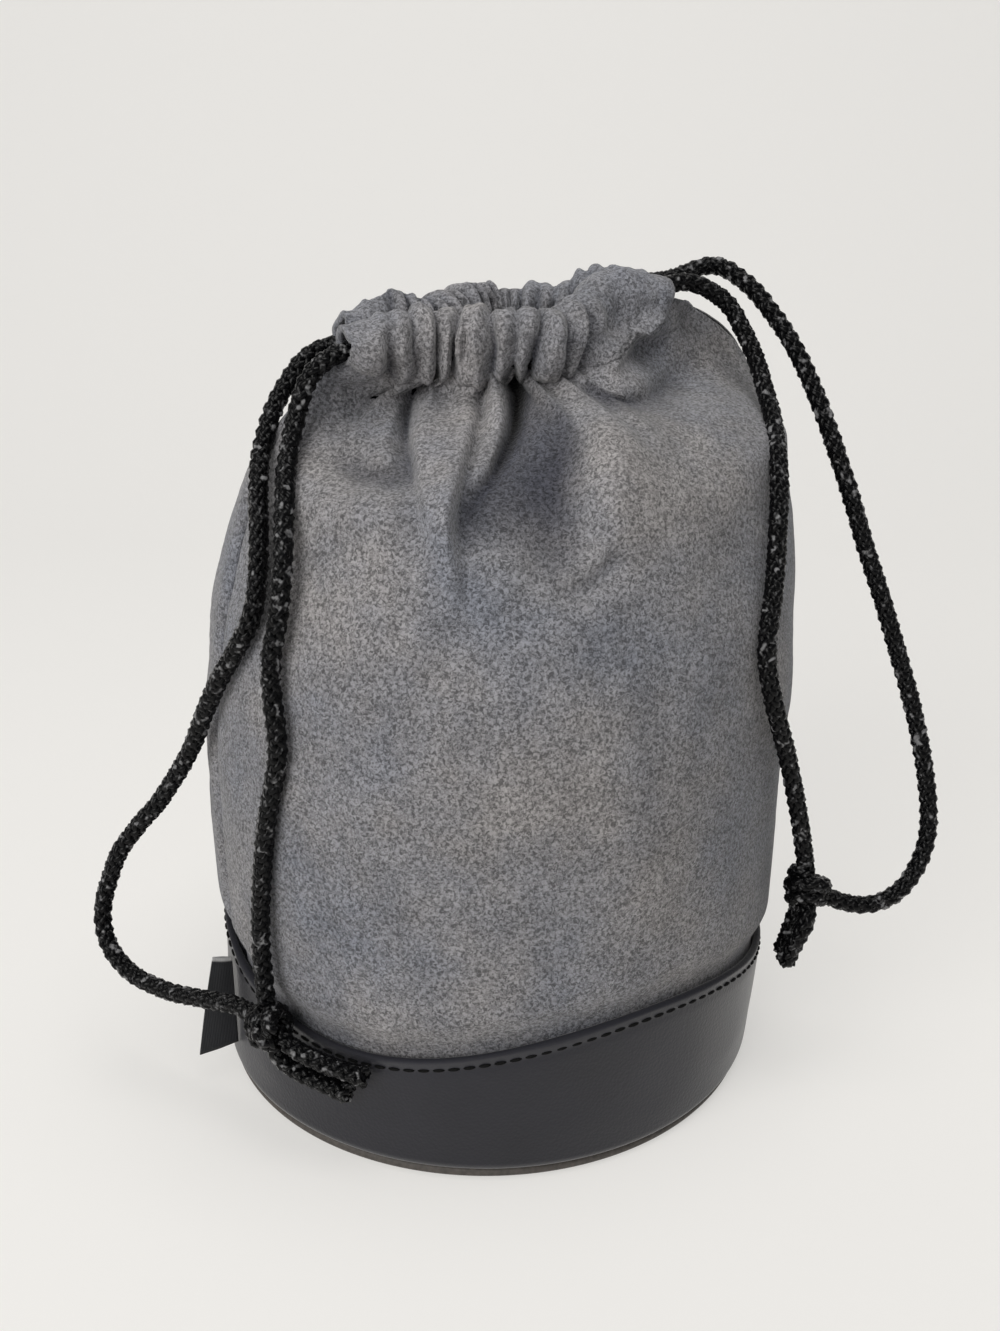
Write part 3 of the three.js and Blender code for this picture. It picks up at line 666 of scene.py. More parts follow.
# Pleats under the front casing's stitches, by place along the panel and height: the tongues that hang from the
# ruffles, the deep crease beside them and the hollow beyond it.
FRONT_PLEATS = [
    ("ridge", [(0, 150, 0), (0, 120, 0)]),
    ("ridge", [(0.06, 150, 0), (0.06, 120, 0)]),
    ("crease", [(0.127, 150.5, -2.6), (0.138, 148.3, -2), (0.147, 146.2, -1), (0.152, 144, 0)]),
    ("ridge", [(0.17, 149.6, 1.2), (0.208, 145.8, 1.4), (0.22, 142.4, 0.8), (0.225, 139.2, 0)]),
    ("crease", [(0.218, 150.2, -3.5), (0.232, 147, -5.5), (0.243, 143.5, -6.5), (0.258, 139.8, -5.5),
                (0.268, 136.7, -3), (0.278, 133, -0.8), (0.285, 128, 0)]),
    ("ridge", [(0.245, 149.8, 0.8), (0.255, 146.9, 2.4), (0.263, 143.1, 3.6), (0.277, 138.9, 3.4),
               (0.29, 133.9, 2.2), (0.305, 125.8, 1), (0.31, 118, 0)]),
    ("ridge", [(0.272, 149.7, 0.2), (0.288, 147.1, 2.2), (0.297, 143.4, 4.4), (0.3, 139, 4.6), (0.305, 134, 3.6),
               (0.317, 126.5, 2), (0.322, 116, 0)]),
    ("ridge", [(0.32, 150.2, 2.6), (0.322, 146.6, 4.2), (0.318, 141.8, 5), (0.31, 136.6, 4.8), (0.307, 132.7, 4),
               (0.312, 129.3, 3), (0.323, 123.4, 1.2), (0.328, 116, 0)]),
    ("crease", [(0.343, 150.5, -1.8), (0.34, 146.8, -2.6), (0.33, 141.8, -3.2), (0.32, 136.6, -5),
                (0.316, 132.7, -5.4), (0.32, 129.3, -4), (0.33, 125.5, -1.4), (0.334, 120, 0)]),
    ("ridge", [(0.362, 150.5, 1.2), (0.352, 147, 1.4), (0.341, 142, 0.6), (0.331, 138.3, -1.6), (0.324, 136.4, -4.6),
               (0.319, 133, -5.2), (0.322, 129.3, -3.9), (0.331, 125.5, -1.3), (0.335, 120, 0)]),
    ("ridge", [(0.379, 150.5, 0.8), (0.365, 147, 1), (0.352, 142, 0.2), (0.34, 138.3, -2), (0.327, 136.4, -5),
               (0.321, 133, -5.2), (0.324, 129.3, -3.9), (0.332, 125.5, -1.3), (0.336, 120, 0)]),
    ("crease", [(0.397, 150.9, -9), (0.392, 149.6, -9), (0.378, 147.1, -9), (0.364, 142.4, -8.6),
                (0.351, 138.6, -8.2), (0.336, 136.4, -7), (0.324, 133, -5.8), (0.327, 129.3, -3.8),
                (0.335, 125.5, -1.2), (0.338, 120, 0)]),
    ("crease", [(0.421, 150.9, -9), (0.414, 149.6, -9), (0.39, 147.6, -9), (0.372, 143, -8.6), (0.358, 138.6, -8),
                (0.343, 136, -6.8), (0.331, 133, -5.6), (0.331, 129.3, -3.7), (0.337, 125.5, -1.1), (0.34, 120, 0)]),
    ("ridge", [(0.44, 150.9, -2), (0.433, 149.6, -3), (0.41, 147.6, -4.2), (0.39, 142.3, -5), (0.37, 138.2, -5.4),
               (0.352, 135.5, -5.4), (0.341, 132.4, -4.9), (0.341, 128.2, -3), (0.343, 125.2, -1), (0.345, 120, 0)]),
    ("ridge", [(0.475, 150.5, -0.8), (0.44, 146.5, -4.2), (0.422, 140.8, -5.8), (0.413, 135.3, -6),
               (0.412, 128.9, -4.8), (0.415, 121.4, -2.2), (0.415, 115.6, -0.6), (0.415, 110, 0)]),
    ("ridge", [(0.53, 150.7, 1.2), (0.505, 146.9, 2.6), (0.502, 141.7, 3.6), (0.496, 134.9, 3.2), (0.488, 127.9, 1.6),
               (0.472, 122.1, 0.5), (0.47, 116, 0)]),
    ("ridge", [(0.575, 151, 0), (0.57, 146, 0), (0.6, 136, 0), (0.6, 110, 0)]),
    ("ridge", [(0.63, 151.5, 1), (0.64, 149.5, 3), (0.65, 147.5, 3.6), (0.66, 144, 0), (0.66, 110, 0)]),
    ("ridge", [(0.78, 151.5, 0.6), (0.79, 149, 2), (0.8, 147, 2), (0.8, 143.5, 0), (0.8, 110, 0)]),
    ("ridge", [(0.9, 151.5, 0), (0.9, 147, 0), (0.9, 143, 0), (0.9, 110, 0)]),
    ("ridge", [(1, 150, 0), (1, 120, 0)]),
]
# Folds that run across: (u, height, depth) in mm along each, then its width below it and above it.
FRONT_FOLDS = [
    ([(0.555, 150.5, 0), (0.56, 149.6, -3), (0.572, 147.9, -4.5), (0.6, 146.3, -4.5), (0.65, 144.8, -4),
      (0.718, 143.9, -3), (0.798, 144.4, -1.6), (0.883, 145.8, 0)], 5, 2.2),
    ([(0.412, 119.3, 0), (0.44, 119.7, -1.6), (0.455, 120.7, -2.2), (0.472, 122.4, -2.2), (0.483, 124.5, -1.6),
      (0.5, 127, 0)], 2.2, 1.6),
    ([(0.41, 125.2, 0), (0.43, 125.2, -0.8), (0.45, 126.2, -0.8), (0.467, 127.2, 0)], 2.4, 2.4),
    ([(0.12, 141, 0), (0.168, 138.9, -3.4), (0.203, 137.6, -4.4), (0.238, 137.2, -4.4), (0.262, 137.6, -1.5)], 3, 7),
    ([(0.12, 134.5, 0), (0.165, 133.6, 1.2), (0.203, 132.8, 1.8), (0.242, 132, 1.6), (0.275, 131, 0)], 5, 4),
    ([(0.3, 126, 0), (0.25, 118, 1.6), (0.2, 106, 1.6), (0.16, 92, 0)], 10, 10),
    ([(0.33, 124, 0), (0.338, 119.3, -1.4), (0.348, 112.5, 0)], 2.4, 4),
    ([(0.52, 117, 0), (0.62, 121, -1.4), (0.72, 124, 0)], 7, 5),
    ([(0.8, 150, 2), (0.87, 149.5, 3), (0.92, 148.5, 2), (0.95, 147.5, 0.4)], 4.5, 5),
    ([(0.34, 106, 0), (0.42, 96, 1.0), (0.52, 84, 0)], 9, 9),
]
# Ruffles of the front casing: places along it and depths in mm, at these shares of the way from the stitches over
# the top and back.
RUFFLE_LEVELS = (0.04, 0.25, 0.45)
FRONT_RUFFLES = [("ridge", [(0, 0.04, 0.4), (0, 0.45, 0)])]
for kind, places, depths in (
    ("ridge", (0.032, 0.036, 0.045), (1.6, 2.6, 1.6)),
    ("crease", (0.085, 0.078, 0.09), (-2.4, -1.8, -0.3)),
    ("ridge", (0.12, 0.105, 0.115), (0.6, 0.9, 1.2)),
    ("crease", (0.165, 0.14, 0.148), (-1.2, -1.4, -1)),
    ("ridge", (0.188, 0.178, 0.185), (0.8, 1, 1.5)),
    ("crease", (0.22, 0.208, 0.215), (-1.6, -1.6, -1)),
    ("ridge", (0.243, 0.25, 0.255), (0.8, 1.2, 1.2)),
    ("crease", (0.266, 0.276, 0.288), (-2.2, -2, -1.2)),
    ("ridge", (0.3, 0.292, 0.305), (1.6, 1.6, 1.8)),
    ("ridge", (0.315, 0.308, 0.318), (2.2, 0.9, 1.6)),
    ("ridge", (0.335, 0.34, 0.336), (2, 2.2, 2.2)),
    ("crease", (0.362, 0.378, 0.357), (-2.2, -2.2, -1.2)),
    ("ridge", (0.388, 0.396, 0.39), (1, 1.4, 1.5)),
    ("crease", (0.412, 0.42, 0.418), (-1.4, -1.2, -0.8)),
    ("ridge", (0.428, 0.44, 0.45), (0.4, 0.8, 1.3)),
    ("crease", (0.446, 0.462, 0.478), (-2.6, -2.6, -1.2)),
    ("ridge", (0.49, 0.49, 0.5), (1.4, 1.7, 1.6)),
    ("crease", (0.536, 0.526, 0.535), (-1.4, -1.4, -0.6)),
    ("ridge", (0.553, 0.55, 0.565), (0.6, 1, 1.4)),
    ("crease", (0.57, 0.59, 0.6), (-2.4, -1.6, -0.6)),
    ("ridge", (0.62, 0.625, 0.62), (0.6, 1, 1)),
    ("ridge", (0.66, 0.66, 0.655), (0.4, 0.2, 0.2)),
    ("ridge", (0.8, 0.8, 0.78), (0.3, 2, 1.8)),
    ("ridge", (0.93, 0.93, 0.92), (0.6, 1.6, 1.2)),
):
    FRONT_RUFFLES.append((kind, list(zip(places, RUFFLE_LEVELS, depths))))
FRONT_RUFFLES.append(("ridge", [(1, 0.04, 0), (1, 0.45, 0)]))
# The rear follows the front's pattern, with its own ruffles and pleats.
REAR_COUNT = 17
REAR_LEVELS = (0.04, 0.35, 0.65, 0.96)
rng = np.random.default_rng(7)
REAR_RUFFLES = [("ridge", [(0, 0.04, 0), (0, 0.96, 0)]), ("ridge", [(0.04, 0.04, 1.2), (0.04, 0.96, 1)])]
REAR_PLEATS = [("ridge", [(0, 150, 0), (0, 120, 0)]), ("ridge", [(0.06, 150, 0), (0.06, 120, 0)])]
valley_places = 0.09 + 0.66 * np.cumsum(rng.uniform(0.7, 1.3, REAR_COUNT)) / REAR_COUNT
for count, place in enumerate(valley_places):
    ridge_place = place + 0.5 * ((valley_places[count + 1] if count < REAR_COUNT - 1 else 0.8) - place)
    slants = rng.uniform(-0.008, 0.008, 4)
    depth, stand = rng.uniform(1.4, 2.3), rng.uniform(0.7, 1.7)
    for kind, middle, height in (("crease", place, -depth), ("ridge", ridge_place, stand)):
        REAR_RUFFLES.append((kind, [(middle + slant, level, height) for slant, level in zip(slants, REAR_LEVELS)]))
    reach, drift = rng.uniform(8, 24), rng.uniform(-0.025, 0.025)
    hang = rng.uniform(1, 3.6)
    REAR_PLEATS.append(("crease", [(place, 151, -hang), (place + drift / 2, 151 - reach / 2, -0.7 * hang),
                                   (place + drift, 151 - reach, 0)]))
    REAR_PLEATS.append(("ridge", [(ridge_place, 151, 0.5 * stand), (ridge_place + drift, 151 - reach, 0)]))
REAR_RUFFLES += [("ridge", [(0.9, 0.04, 1.4), (0.9, 0.96, 1)]), ("ridge", [(1, 0.04, 0), (1, 0.96, 0)])]
REAR_PLEATS += [("ridge", [(0.88, 150, 0), (0.88, 120, 0)]), ("ridge", [(1, 150, 0), (1, 120, 0)])]
REAR_FOLDS = [
    ([(0.3, 147, 0), (0.31, 140, -3), (0.33, 130, -2), (0.34, 116, 0)], 3, 6),
    ([(0.52, 148, 0), (0.5, 140, 3), (0.48, 128, 2), (0.47, 110, 0)], 6, 6),
    ([(0.6, 147, 0), (0.62, 140, -3.5), (0.6, 131, -2), (0.58, 120, 0)], 3, 5),
    ([(0.72, 146, 0), (0.7, 136, 2), (0.68, 118, 0)], 8, 8),
    ([(0.17, 145, 0), (0.2, 136, -2.5), (0.22, 122, 0)], 5, 5),
]


def distances(points):
    """How far each point of a row lies along it."""
    return np.concatenate([[0], np.cumsum(np.linalg.norm(np.diff(points, axis=0), axis=1))])


def section_of_casing():
    """The folded casing's section as (outwards, upwards), from the stitches outside, over the top and back."""
    outline = np.array(
        [(0.65, 0), (2.2, 0.9), (3.7, 3.6), (4.4, 6.8), (3.9, 10.2), (2.0, 12.6), (0, 13.2), (-2.0, 12.6),
         (-3.9, 10.2), (-4.4, 6.8), (-3.7, 3.6), (-2.2, 0.9), (-1.0, 0.15)]
    ) * mm
    places = distances(outline)
    slopes = np.gradient(outline, places, axis=0)
    return curve_through(places, outline, slopes, np.linspace(0, places[-1], CASING_ROWS))


def panel_columns():
    """Places of a panel's columns of points along it, closer together where the pleats are."""
    spread = np.linspace(0, 1, 1001)
    closeness = np.cumsum(1 + 1.7 * eased(spread, 0.08, 0.15) * (1 - eased(spread, 0.55, 0.65)))
    closeness = (closeness - closeness[0]) / (closeness[-1] - closeness[0])
    return np.interp(np.linspace(0, 1, PANEL_COLUMNS), closeness, spread)


def closed_sheet(name, outer, inner, marks, turned):
    """A sheet of two grids of points, closed round its rim. turned swaps the way that its faces look."""
    count = outer.shape[0] * outer.shape[1]
    grid = np.arange(count).reshape(outer.shape[:2])
    quads = np.stack([grid[:-1, :-1], grid[:-1, 1:], grid[1:, 1:], grid[1:, :-1]], axis=-1).reshape(-1, 4)
    rim = np.concatenate([grid[0], grid[1:, -1], grid[-1, -2::-1], grid[-2:0:-1, 0]])
    ahead = np.roll(rim, -1)
    border = np.stack([rim, rim + count, ahead + count, ahead], axis=-1)
    faces = np.concatenate([quads, quads[:, ::-1] + count, border])
    if turned:
        faces = faces[:, ::-1]
    points = np.concatenate([outer.reshape(-1, 3), inner.reshape(-1, 3)])
    return put(name, mesh_of(name, points, faces, np.concatenate([marks, marks])))


def panel_piece(name, side, pleats, folds, ruffles, tag_reach, extra_height, tuft_height, top_wave, seed):
    """One panel with its casing, as a single closed sheet of suede."""
    # The plain form up to the stitches, in rows evenly spaced along the surface.
    columns = panel_columns()
    bottoms = band_top(side * np.pi * (1 - columns)) - SUEDE_TUCK
    fine = np.linspace(0, 1, FINE_STEPS)
    climb = bottoms.mean() + (STITCH_HEIGHT - bottoms.mean()) * fine
    run = distances(plan_point(side, np.full(FINE_STEPS, 0.4), climb))
    shares = np.interp(np.linspace(0, run[-1], BODY_ROWS), run, fine)
    heights = bottoms[None, :] + (STITCH_HEIGHT - bottoms)[None, :] * shares[:, None]
    u = np.broadcast_to(columns[None, :], heights.shape)
    plain = plan_point(side, u, heights)

    # The line of the stitches rises at both ends and follows the ruffles, and a lobe stands out near the far end.
    over = np.linspace(0, 1, CASING_ROWS)
    swell = pleated(columns, over, ruffles)
    swell = np.where(swell > 0, RUFFLE_OUT, RUFFLE_IN) * swell
    tag_end = 1 - eased(columns, 0, 0.1)
    far_end = 1 - eased(1 - columns, 0, 0.2)
    lift = TAG_END_LIFT * tag_end + FAR_END_LIFT * far_end - SCALLOP * swell[2]
    plain[..., 0] -= (tag_reach * tag_end - FAR_END_REACH * far_end) * eased(heights, CREST, STITCH_HEIGHT)
    plain[..., 2] += lift * eased(heights, CREST - 10 * mm, STITCH_HEIGHT)
    along = np.gradient(plan_point(side, columns, np.full(PANEL_COLUMNS, STITCH_HEIGHT)), axis=0)
    sideways = unit(np.stack([-along[:, 1], along[:, 0], np.zeros(PANEL_COLUMNS)], axis=-1)) * side
    lobe = LOBE_DEPTH * eased(columns, 0.58, 0.64) * (1 - eased(columns, 0.84, 0.97))
    plain += sideways * (lobe * eased(heights, LOBE_FOOT, STITCH_HEIGHT))[..., None]

    # The way that the cloth moves in and out: level below, rising to the mouth, and leaning at the front pleats.
    out = outward(plain, side)
    rise = PLEAT_RISE * eased(heights, 105 * mm, CREST)
    out[..., 2] = 0
    out = unit(out) * np.cos(rise)[..., None]
    out[..., 2] = np.sin(rise)
    if side < 0:
        leaning = eased(u, 0.02, 0.2) * (1 - eased(u, 0.6, 0.8)) * eased(heights, 100 * mm, 128 * mm)
        out = unit(out * (1 - leaning[..., None]) + PLEAT_LEAN * leaning[..., None])

    # Pleats, folds, soft lumps and the seams, held where the cloth has no room and where the band grips it.
    drop = heights - band_top(side * np.pi * (1 - u))
    girth = np.linalg.norm(np.diff(plain, axis=1), axis=-1).sum(axis=1)[:, None]
    move = pleated(columns, heights.mean(axis=1) / mm, pleats)
    for line, below_width, above_width in folds:
        move = move + fold_depth(plain, u, heights, side, line, below_width, above_width)
    free = eased(drop, 4 * mm, 40 * mm)
    lumps = 1.2 * mm * noise_at(plain, 38 * mm, seed) + 0.5 * mm * noise_at(plain, 13 * mm, seed + 1)
    move = move + free * lumps
    move = move + free * 0.12 * mm * noise_at(plain, 2.2 * mm, seed + 2)
    seam_gap = np.minimum(u, 1 - u) * girth
    move = move - SEAM_SINK * np.exp(-((seam_gap / SEAM_WIDTH) ** 2))
    room = 0.85 * np.abs(plain[..., 1]) + 2 * mm
    move = np.where(move < 0, -room * np.tanh(-move / room), move)
    move = move + SUEDE_THICKNESS / 2 - BAND_GRIP * (1 - eased(drop, 0.3 * mm, 9 * mm))
    hollow = np.clip(0.5 + move / HOLLOW_RANGE, 0, 1)
    body = plain + out * move[..., None]

    # The casing, row by row over its section: ruffled, lower at both ends, with tufts on top.
    section = section_of_casing()
    turn = np.gradient(section, axis=0)
    face = unit(np.stack([turn[:, 1], -turn[:, 0]], axis=-1))
    gathered = eased(columns, 0, 0.07) * eased(1 - columns, 0.05, 0.3)
    tag_gap, far_gap = columns * 2 * MOUTH_HALF_LENGTH, (1 - columns) * 2 * MOUTH_HALF_LENGTH
    tag_tip, far_tip = np.exp(-((tag_gap / TIP_WIDTH) ** 2)), np.exp(-((far_gap / TIP_WIDTH) ** 2))
    stoop = 1 - 0.22 * np.exp(-((tag_gap / (6 * mm)) ** 2)) - 0.34 * np.exp(-((far_gap / (7 * mm)) ** 2))
    tuft_line = np.stack([columns * 0.072, np.full(PANEL_COLUMNS, 0.01 * side), np.zeros(PANEL_COLUMNS)], axis=-1)
    tufts = tuft_height * gathered * noise_at(tuft_line, 3.8 * mm, seed + 6)
    taller = extra_height * (1 - eased(columns, 0.45, 0.7)) - 1.5 * mm * eased(columns, 0.55, 0.75)
    carried = (1 - eased(over, 0.01, 0.13))[:, None] * np.where(move[-1] < 0, 1, 0.5) * move[-1]
    rows = []
    for k, share in enumerate(over):
        rounded = math.sin(math.pi * share)
        held = 0.5 + 0.5 * rounded**0.5
        upwards = section[k, 1] * (CASING_HEIGHT + taller - lift) / CASING_HEIGHT * stoop
        upwards = upwards + face[k, 1] * swell[k] * held * top_wave
        outwards = section[k, 0] + face[k, 0] * swell[k] * held - lobe * eased(share, 0, 0.24)
        point = plain[-1] + sideways * outwards[:, None] + out[-1] * carried[k][:, None]
        high = eased(upwards, 4.5 * mm, 7.5 * mm)
        point[:, 1] *= 1 - 0.35 * tag_tip * high - 0.85 * far_tip * (1 - high)
        corner = np.clip((upwards / mm - 6) / 6, -1, 1)
        point[:, 0] += TAG_TIP_TUCK * tag_tip * np.maximum(corner, 0) ** 2 - FAR_TIP_TUCK * far_tip * corner**2
        point[:, 2] += upwards + tufts * rounded**6
        rows.append(point)
    casing = np.array(rows)
    upright = np.stack(
        np.broadcast_arrays(tag_gap[None, :], over[:, None] * 9 * mm, np.full((1, 1), 0.01 * side)), axis=-1
    )
    rough = 0.5 * mm * noise_at(casing, 3.2 * mm, seed + 4) + 0.25 * mm * noise_at(casing, 1.5 * mm, seed + 5)
    rough = rough + 0.75 * mm * noise_at(upright, 1.9 * mm, seed + 7)
    casing += (rough * (0.4 + 0.6 * gathered))[..., None] * np.array([0.4, 1, 1])
    sheet = np.concatenate([body, casing[1:]])

    # The inner face, neither face past the plane of the seams, and marks of how deep each place lies, which the
    # suede's colour uses for painted shade.
    lining_side = sheet - outward(sheet, side) * SUEDE_THICKNESS
    for skin in (sheet, lining_side):
        skin[..., 1] = side * np.maximum(side * skin[..., 1], 0)
    ruffled = np.clip(0.5 + swell[1:] / RUFFLE_RANGE + carried[1:] / HOLLOW_RANGE, 0, 1)
    depth = np.concatenate([hollow, ruffled])
    marks = np.stack([np.broadcast_to(columns, depth.shape), depth], axis=-1).reshape(-1, 2)
    return closed_sheet(name, sheet, lining_side, marks, side > 0)


suede_finish, suede_nodes, suede_shader = finish_of(
    "grey suede", Roughness=0.95, Specular_IOR_Level=0.15, Sheen_Weight=0.25, Sheen_Roughness=0.45
)
suede_patches = texture(suede_nodes, "Noise", 24, Detail=4, Roughness=0.6)
suede_brushed = texture(suede_nodes, "Noise", 105, Detail=4, Distortion=0.6)
suede_nap = texture(suede_nodes, "Noise", 1600, Detail=2, Distortion=0.8, Roughness=0.6)
suede_fibre = texture(suede_nodes, "Noise", 2100, Detail=2)
suede_tone = ramp(suede_nodes, suede_patches, (0.36, (0.16, 0.168, 0.193)), (0.64, (0.234, 0.226, 0.228)))
suede_strokes = ramp(suede_nodes, suede_brushed, (0.3, grey(0.88)), (0.7, grey(1.1)))
suede_grain = ramp(suede_nodes, suede_nap, (0.37, grey(0.46)), (0.63, grey(1.54)))
# Painted shade: the colour darkens with how deep each place lies, bluish in the hollows and near black at the floor
# of the deepest creases. The ridges are lightened a little as wear.
suede_crease_shade_and_ridge_wear = ramp(
    suede_nodes,
    second_mark(suede_nodes),
    (0.02, grey(0.05)),
    (0.17, (0.24, 0.25, 0.3)),
    (0.46, grey(1.0)),
    (0.8, (1.18, 1.16, 1.14)),
)
suede_colour = suede_tone
for layer in (suede_strokes, suede_grain, suede_crease_shade_and_ridge_wear):
    suede_colour = tinted(suede_nodes, suede_colour, layer)
suede_nodes.links.new(suede_colour, suede_shader.inputs["Base Color"])
suede_low = raised(suede_nodes, suede_shader, suede_nap, 0.5 * mm, 0.6)
raised(suede_nodes, suede_shader, suede_fibre, 0.15 * mm, 0.4, suede_low)

front_suede = panel_piece(
    "front_suede", -1, FRONT_PLEATS, FRONT_FOLDS, FRONT_RUFFLES,
    tag_reach=2.8 * mm, extra_height=0, tuft_height=1.3 * mm, top_wave=0.5, seed=11,
)
rear_suede = panel_piece(
    "rear_suede", 1, REAR_PLEATS, REAR_FOLDS, REAR_RUFFLES,
    tag_reach=0.5 * mm, extra_height=2.4 * mm, tuft_height=2 * mm, top_wave=0.15, seed=23,
)
for piece, panel, casing in (
    (front_suede, "front_panel", "front_casing"),
    (rear_suede, "rear_panel", "rear_casing"),
):
    piece.data.materials.append(suede_finish)
    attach(piece, "pouch")
    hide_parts(panel, casing)

# The tag: a short woven ribbon, folded once and caught in the side seam by its two ends. It is blank, with a
# paler selvedge along its top.
TAG_BOTTOM = 7.5 * mm
TAG_TOP = 31 * mm
TAG_WIDTH = 8.5 * mm
TAG_SLANT = 4.5 * mm
TAG_BOW = 0.5 * mm
TAG_SPREAD = 1 * mm
TAG_SEAM_X = -61.05 * mm
TAG_ROWS = 28
TAG_LANES = 16
TAG_FOLD_STEPS = 6
RIBBON_GAP = 0.45 * mm
FOLD_GAP, BELLY_GAP = 0.55, 0.45
RIBBON_THICKNESS = 0.3 * mm
tag_rows, tag_uv = [], []
for i in range(TAG_ROWS):
    share = i / (TAG_ROWS - 1)
    height = TAG_BOTTOM + (TAG_TOP - TAG_BOTTOM) * share
    tip = TAG_SEAM_X - TAG_WIDTH + TAG_SLANT * share
    bow = TAG_BOW * math.sin(math.pi * share)
    front_leaf, fold, rear_leaf = [], [], []
    for t in np.linspace(0, 1, TAG_LANES):
        x = TAG_SEAM_X + (tip - TAG_SEAM_X) * t
        gap = RIBBON_GAP * (FOLD_GAP + BELLY_GAP * math.sin(math.pi * t) ** 2)
        level = height + TAG_SPREAD * (1 - t) * (0.5 - share) * 2
        front_leaf.append((x, bow * t * t - gap, level))
        rear_leaf.append((x, bow * t * t + gap, level))
    for step in range(1, TAG_FOLD_STEPS):
        turn = math.pi * (step / TAG_FOLD_STEPS - 0.5)
        gap = RIBBON_GAP * FOLD_GAP
        fold.append((tip - gap * math.cos(turn), bow + gap * math.sin(turn), height))
    row = front_leaf + fold + rear_leaf[::-1]
    tag_rows.append(row)
    tag_uv.extend((j / (len(row) - 1), share) for j in range(len(row)))
tag_sheet = np.array(tag_rows)
tag_face = unit(np.cross(np.gradient(tag_sheet, axis=1), np.gradient(tag_sheet, axis=0)))
tag = closed_sheet("ribbon_tag", tag_sheet, tag_sheet + tag_face * RIBBON_THICKNESS, tag_uv, True)

ribbon_finish, ribbon_nodes, ribbon_shader = finish_of("black ribbon", Roughness=0.7)
ribbon_colour = ramp(
    ribbon_nodes,
    second_mark(ribbon_nodes),
    (0.0, grey(0.03)),
    (0.03, (0.008, 0.009, 0.012)),
    (0.955, (0.008, 0.009, 0.012)),
    (0.975, grey(0.45)),
)
ribbon_nodes.links.new(ribbon_colour, ribbon_shader.inputs["Base Color"])
ribbon_weave = texture(ribbon_nodes, "Wave", 900)
raised(ribbon_nodes, ribbon_shader, ribbon_weave, 0.12 * mm, 0.5)
tag.data.materials.append(ribbon_finish)
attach(tag, "tag")
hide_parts("side_tag")

# The drawstrings: black braid of eight strands, whose soft core is not built. Each runs once round the casing from
# its own end of the mouth, comes out there as two strands, and hangs down to a knot.
BRAID_TURN = 10.4 * mm
BRAID_RADIUS = 0.97 * mm
BRAID_WAVE = 0.32 * mm
YARN_RADIUS = 0.84 * mm
BRAID_STEP = 0.5 * mm
BRAID_YARNS = 8
YARN_SIDES = 6
FLARE_START = 0.8
PATH_STEP, SHORT_STEP = 0.8 * mm, 0.5 * mm


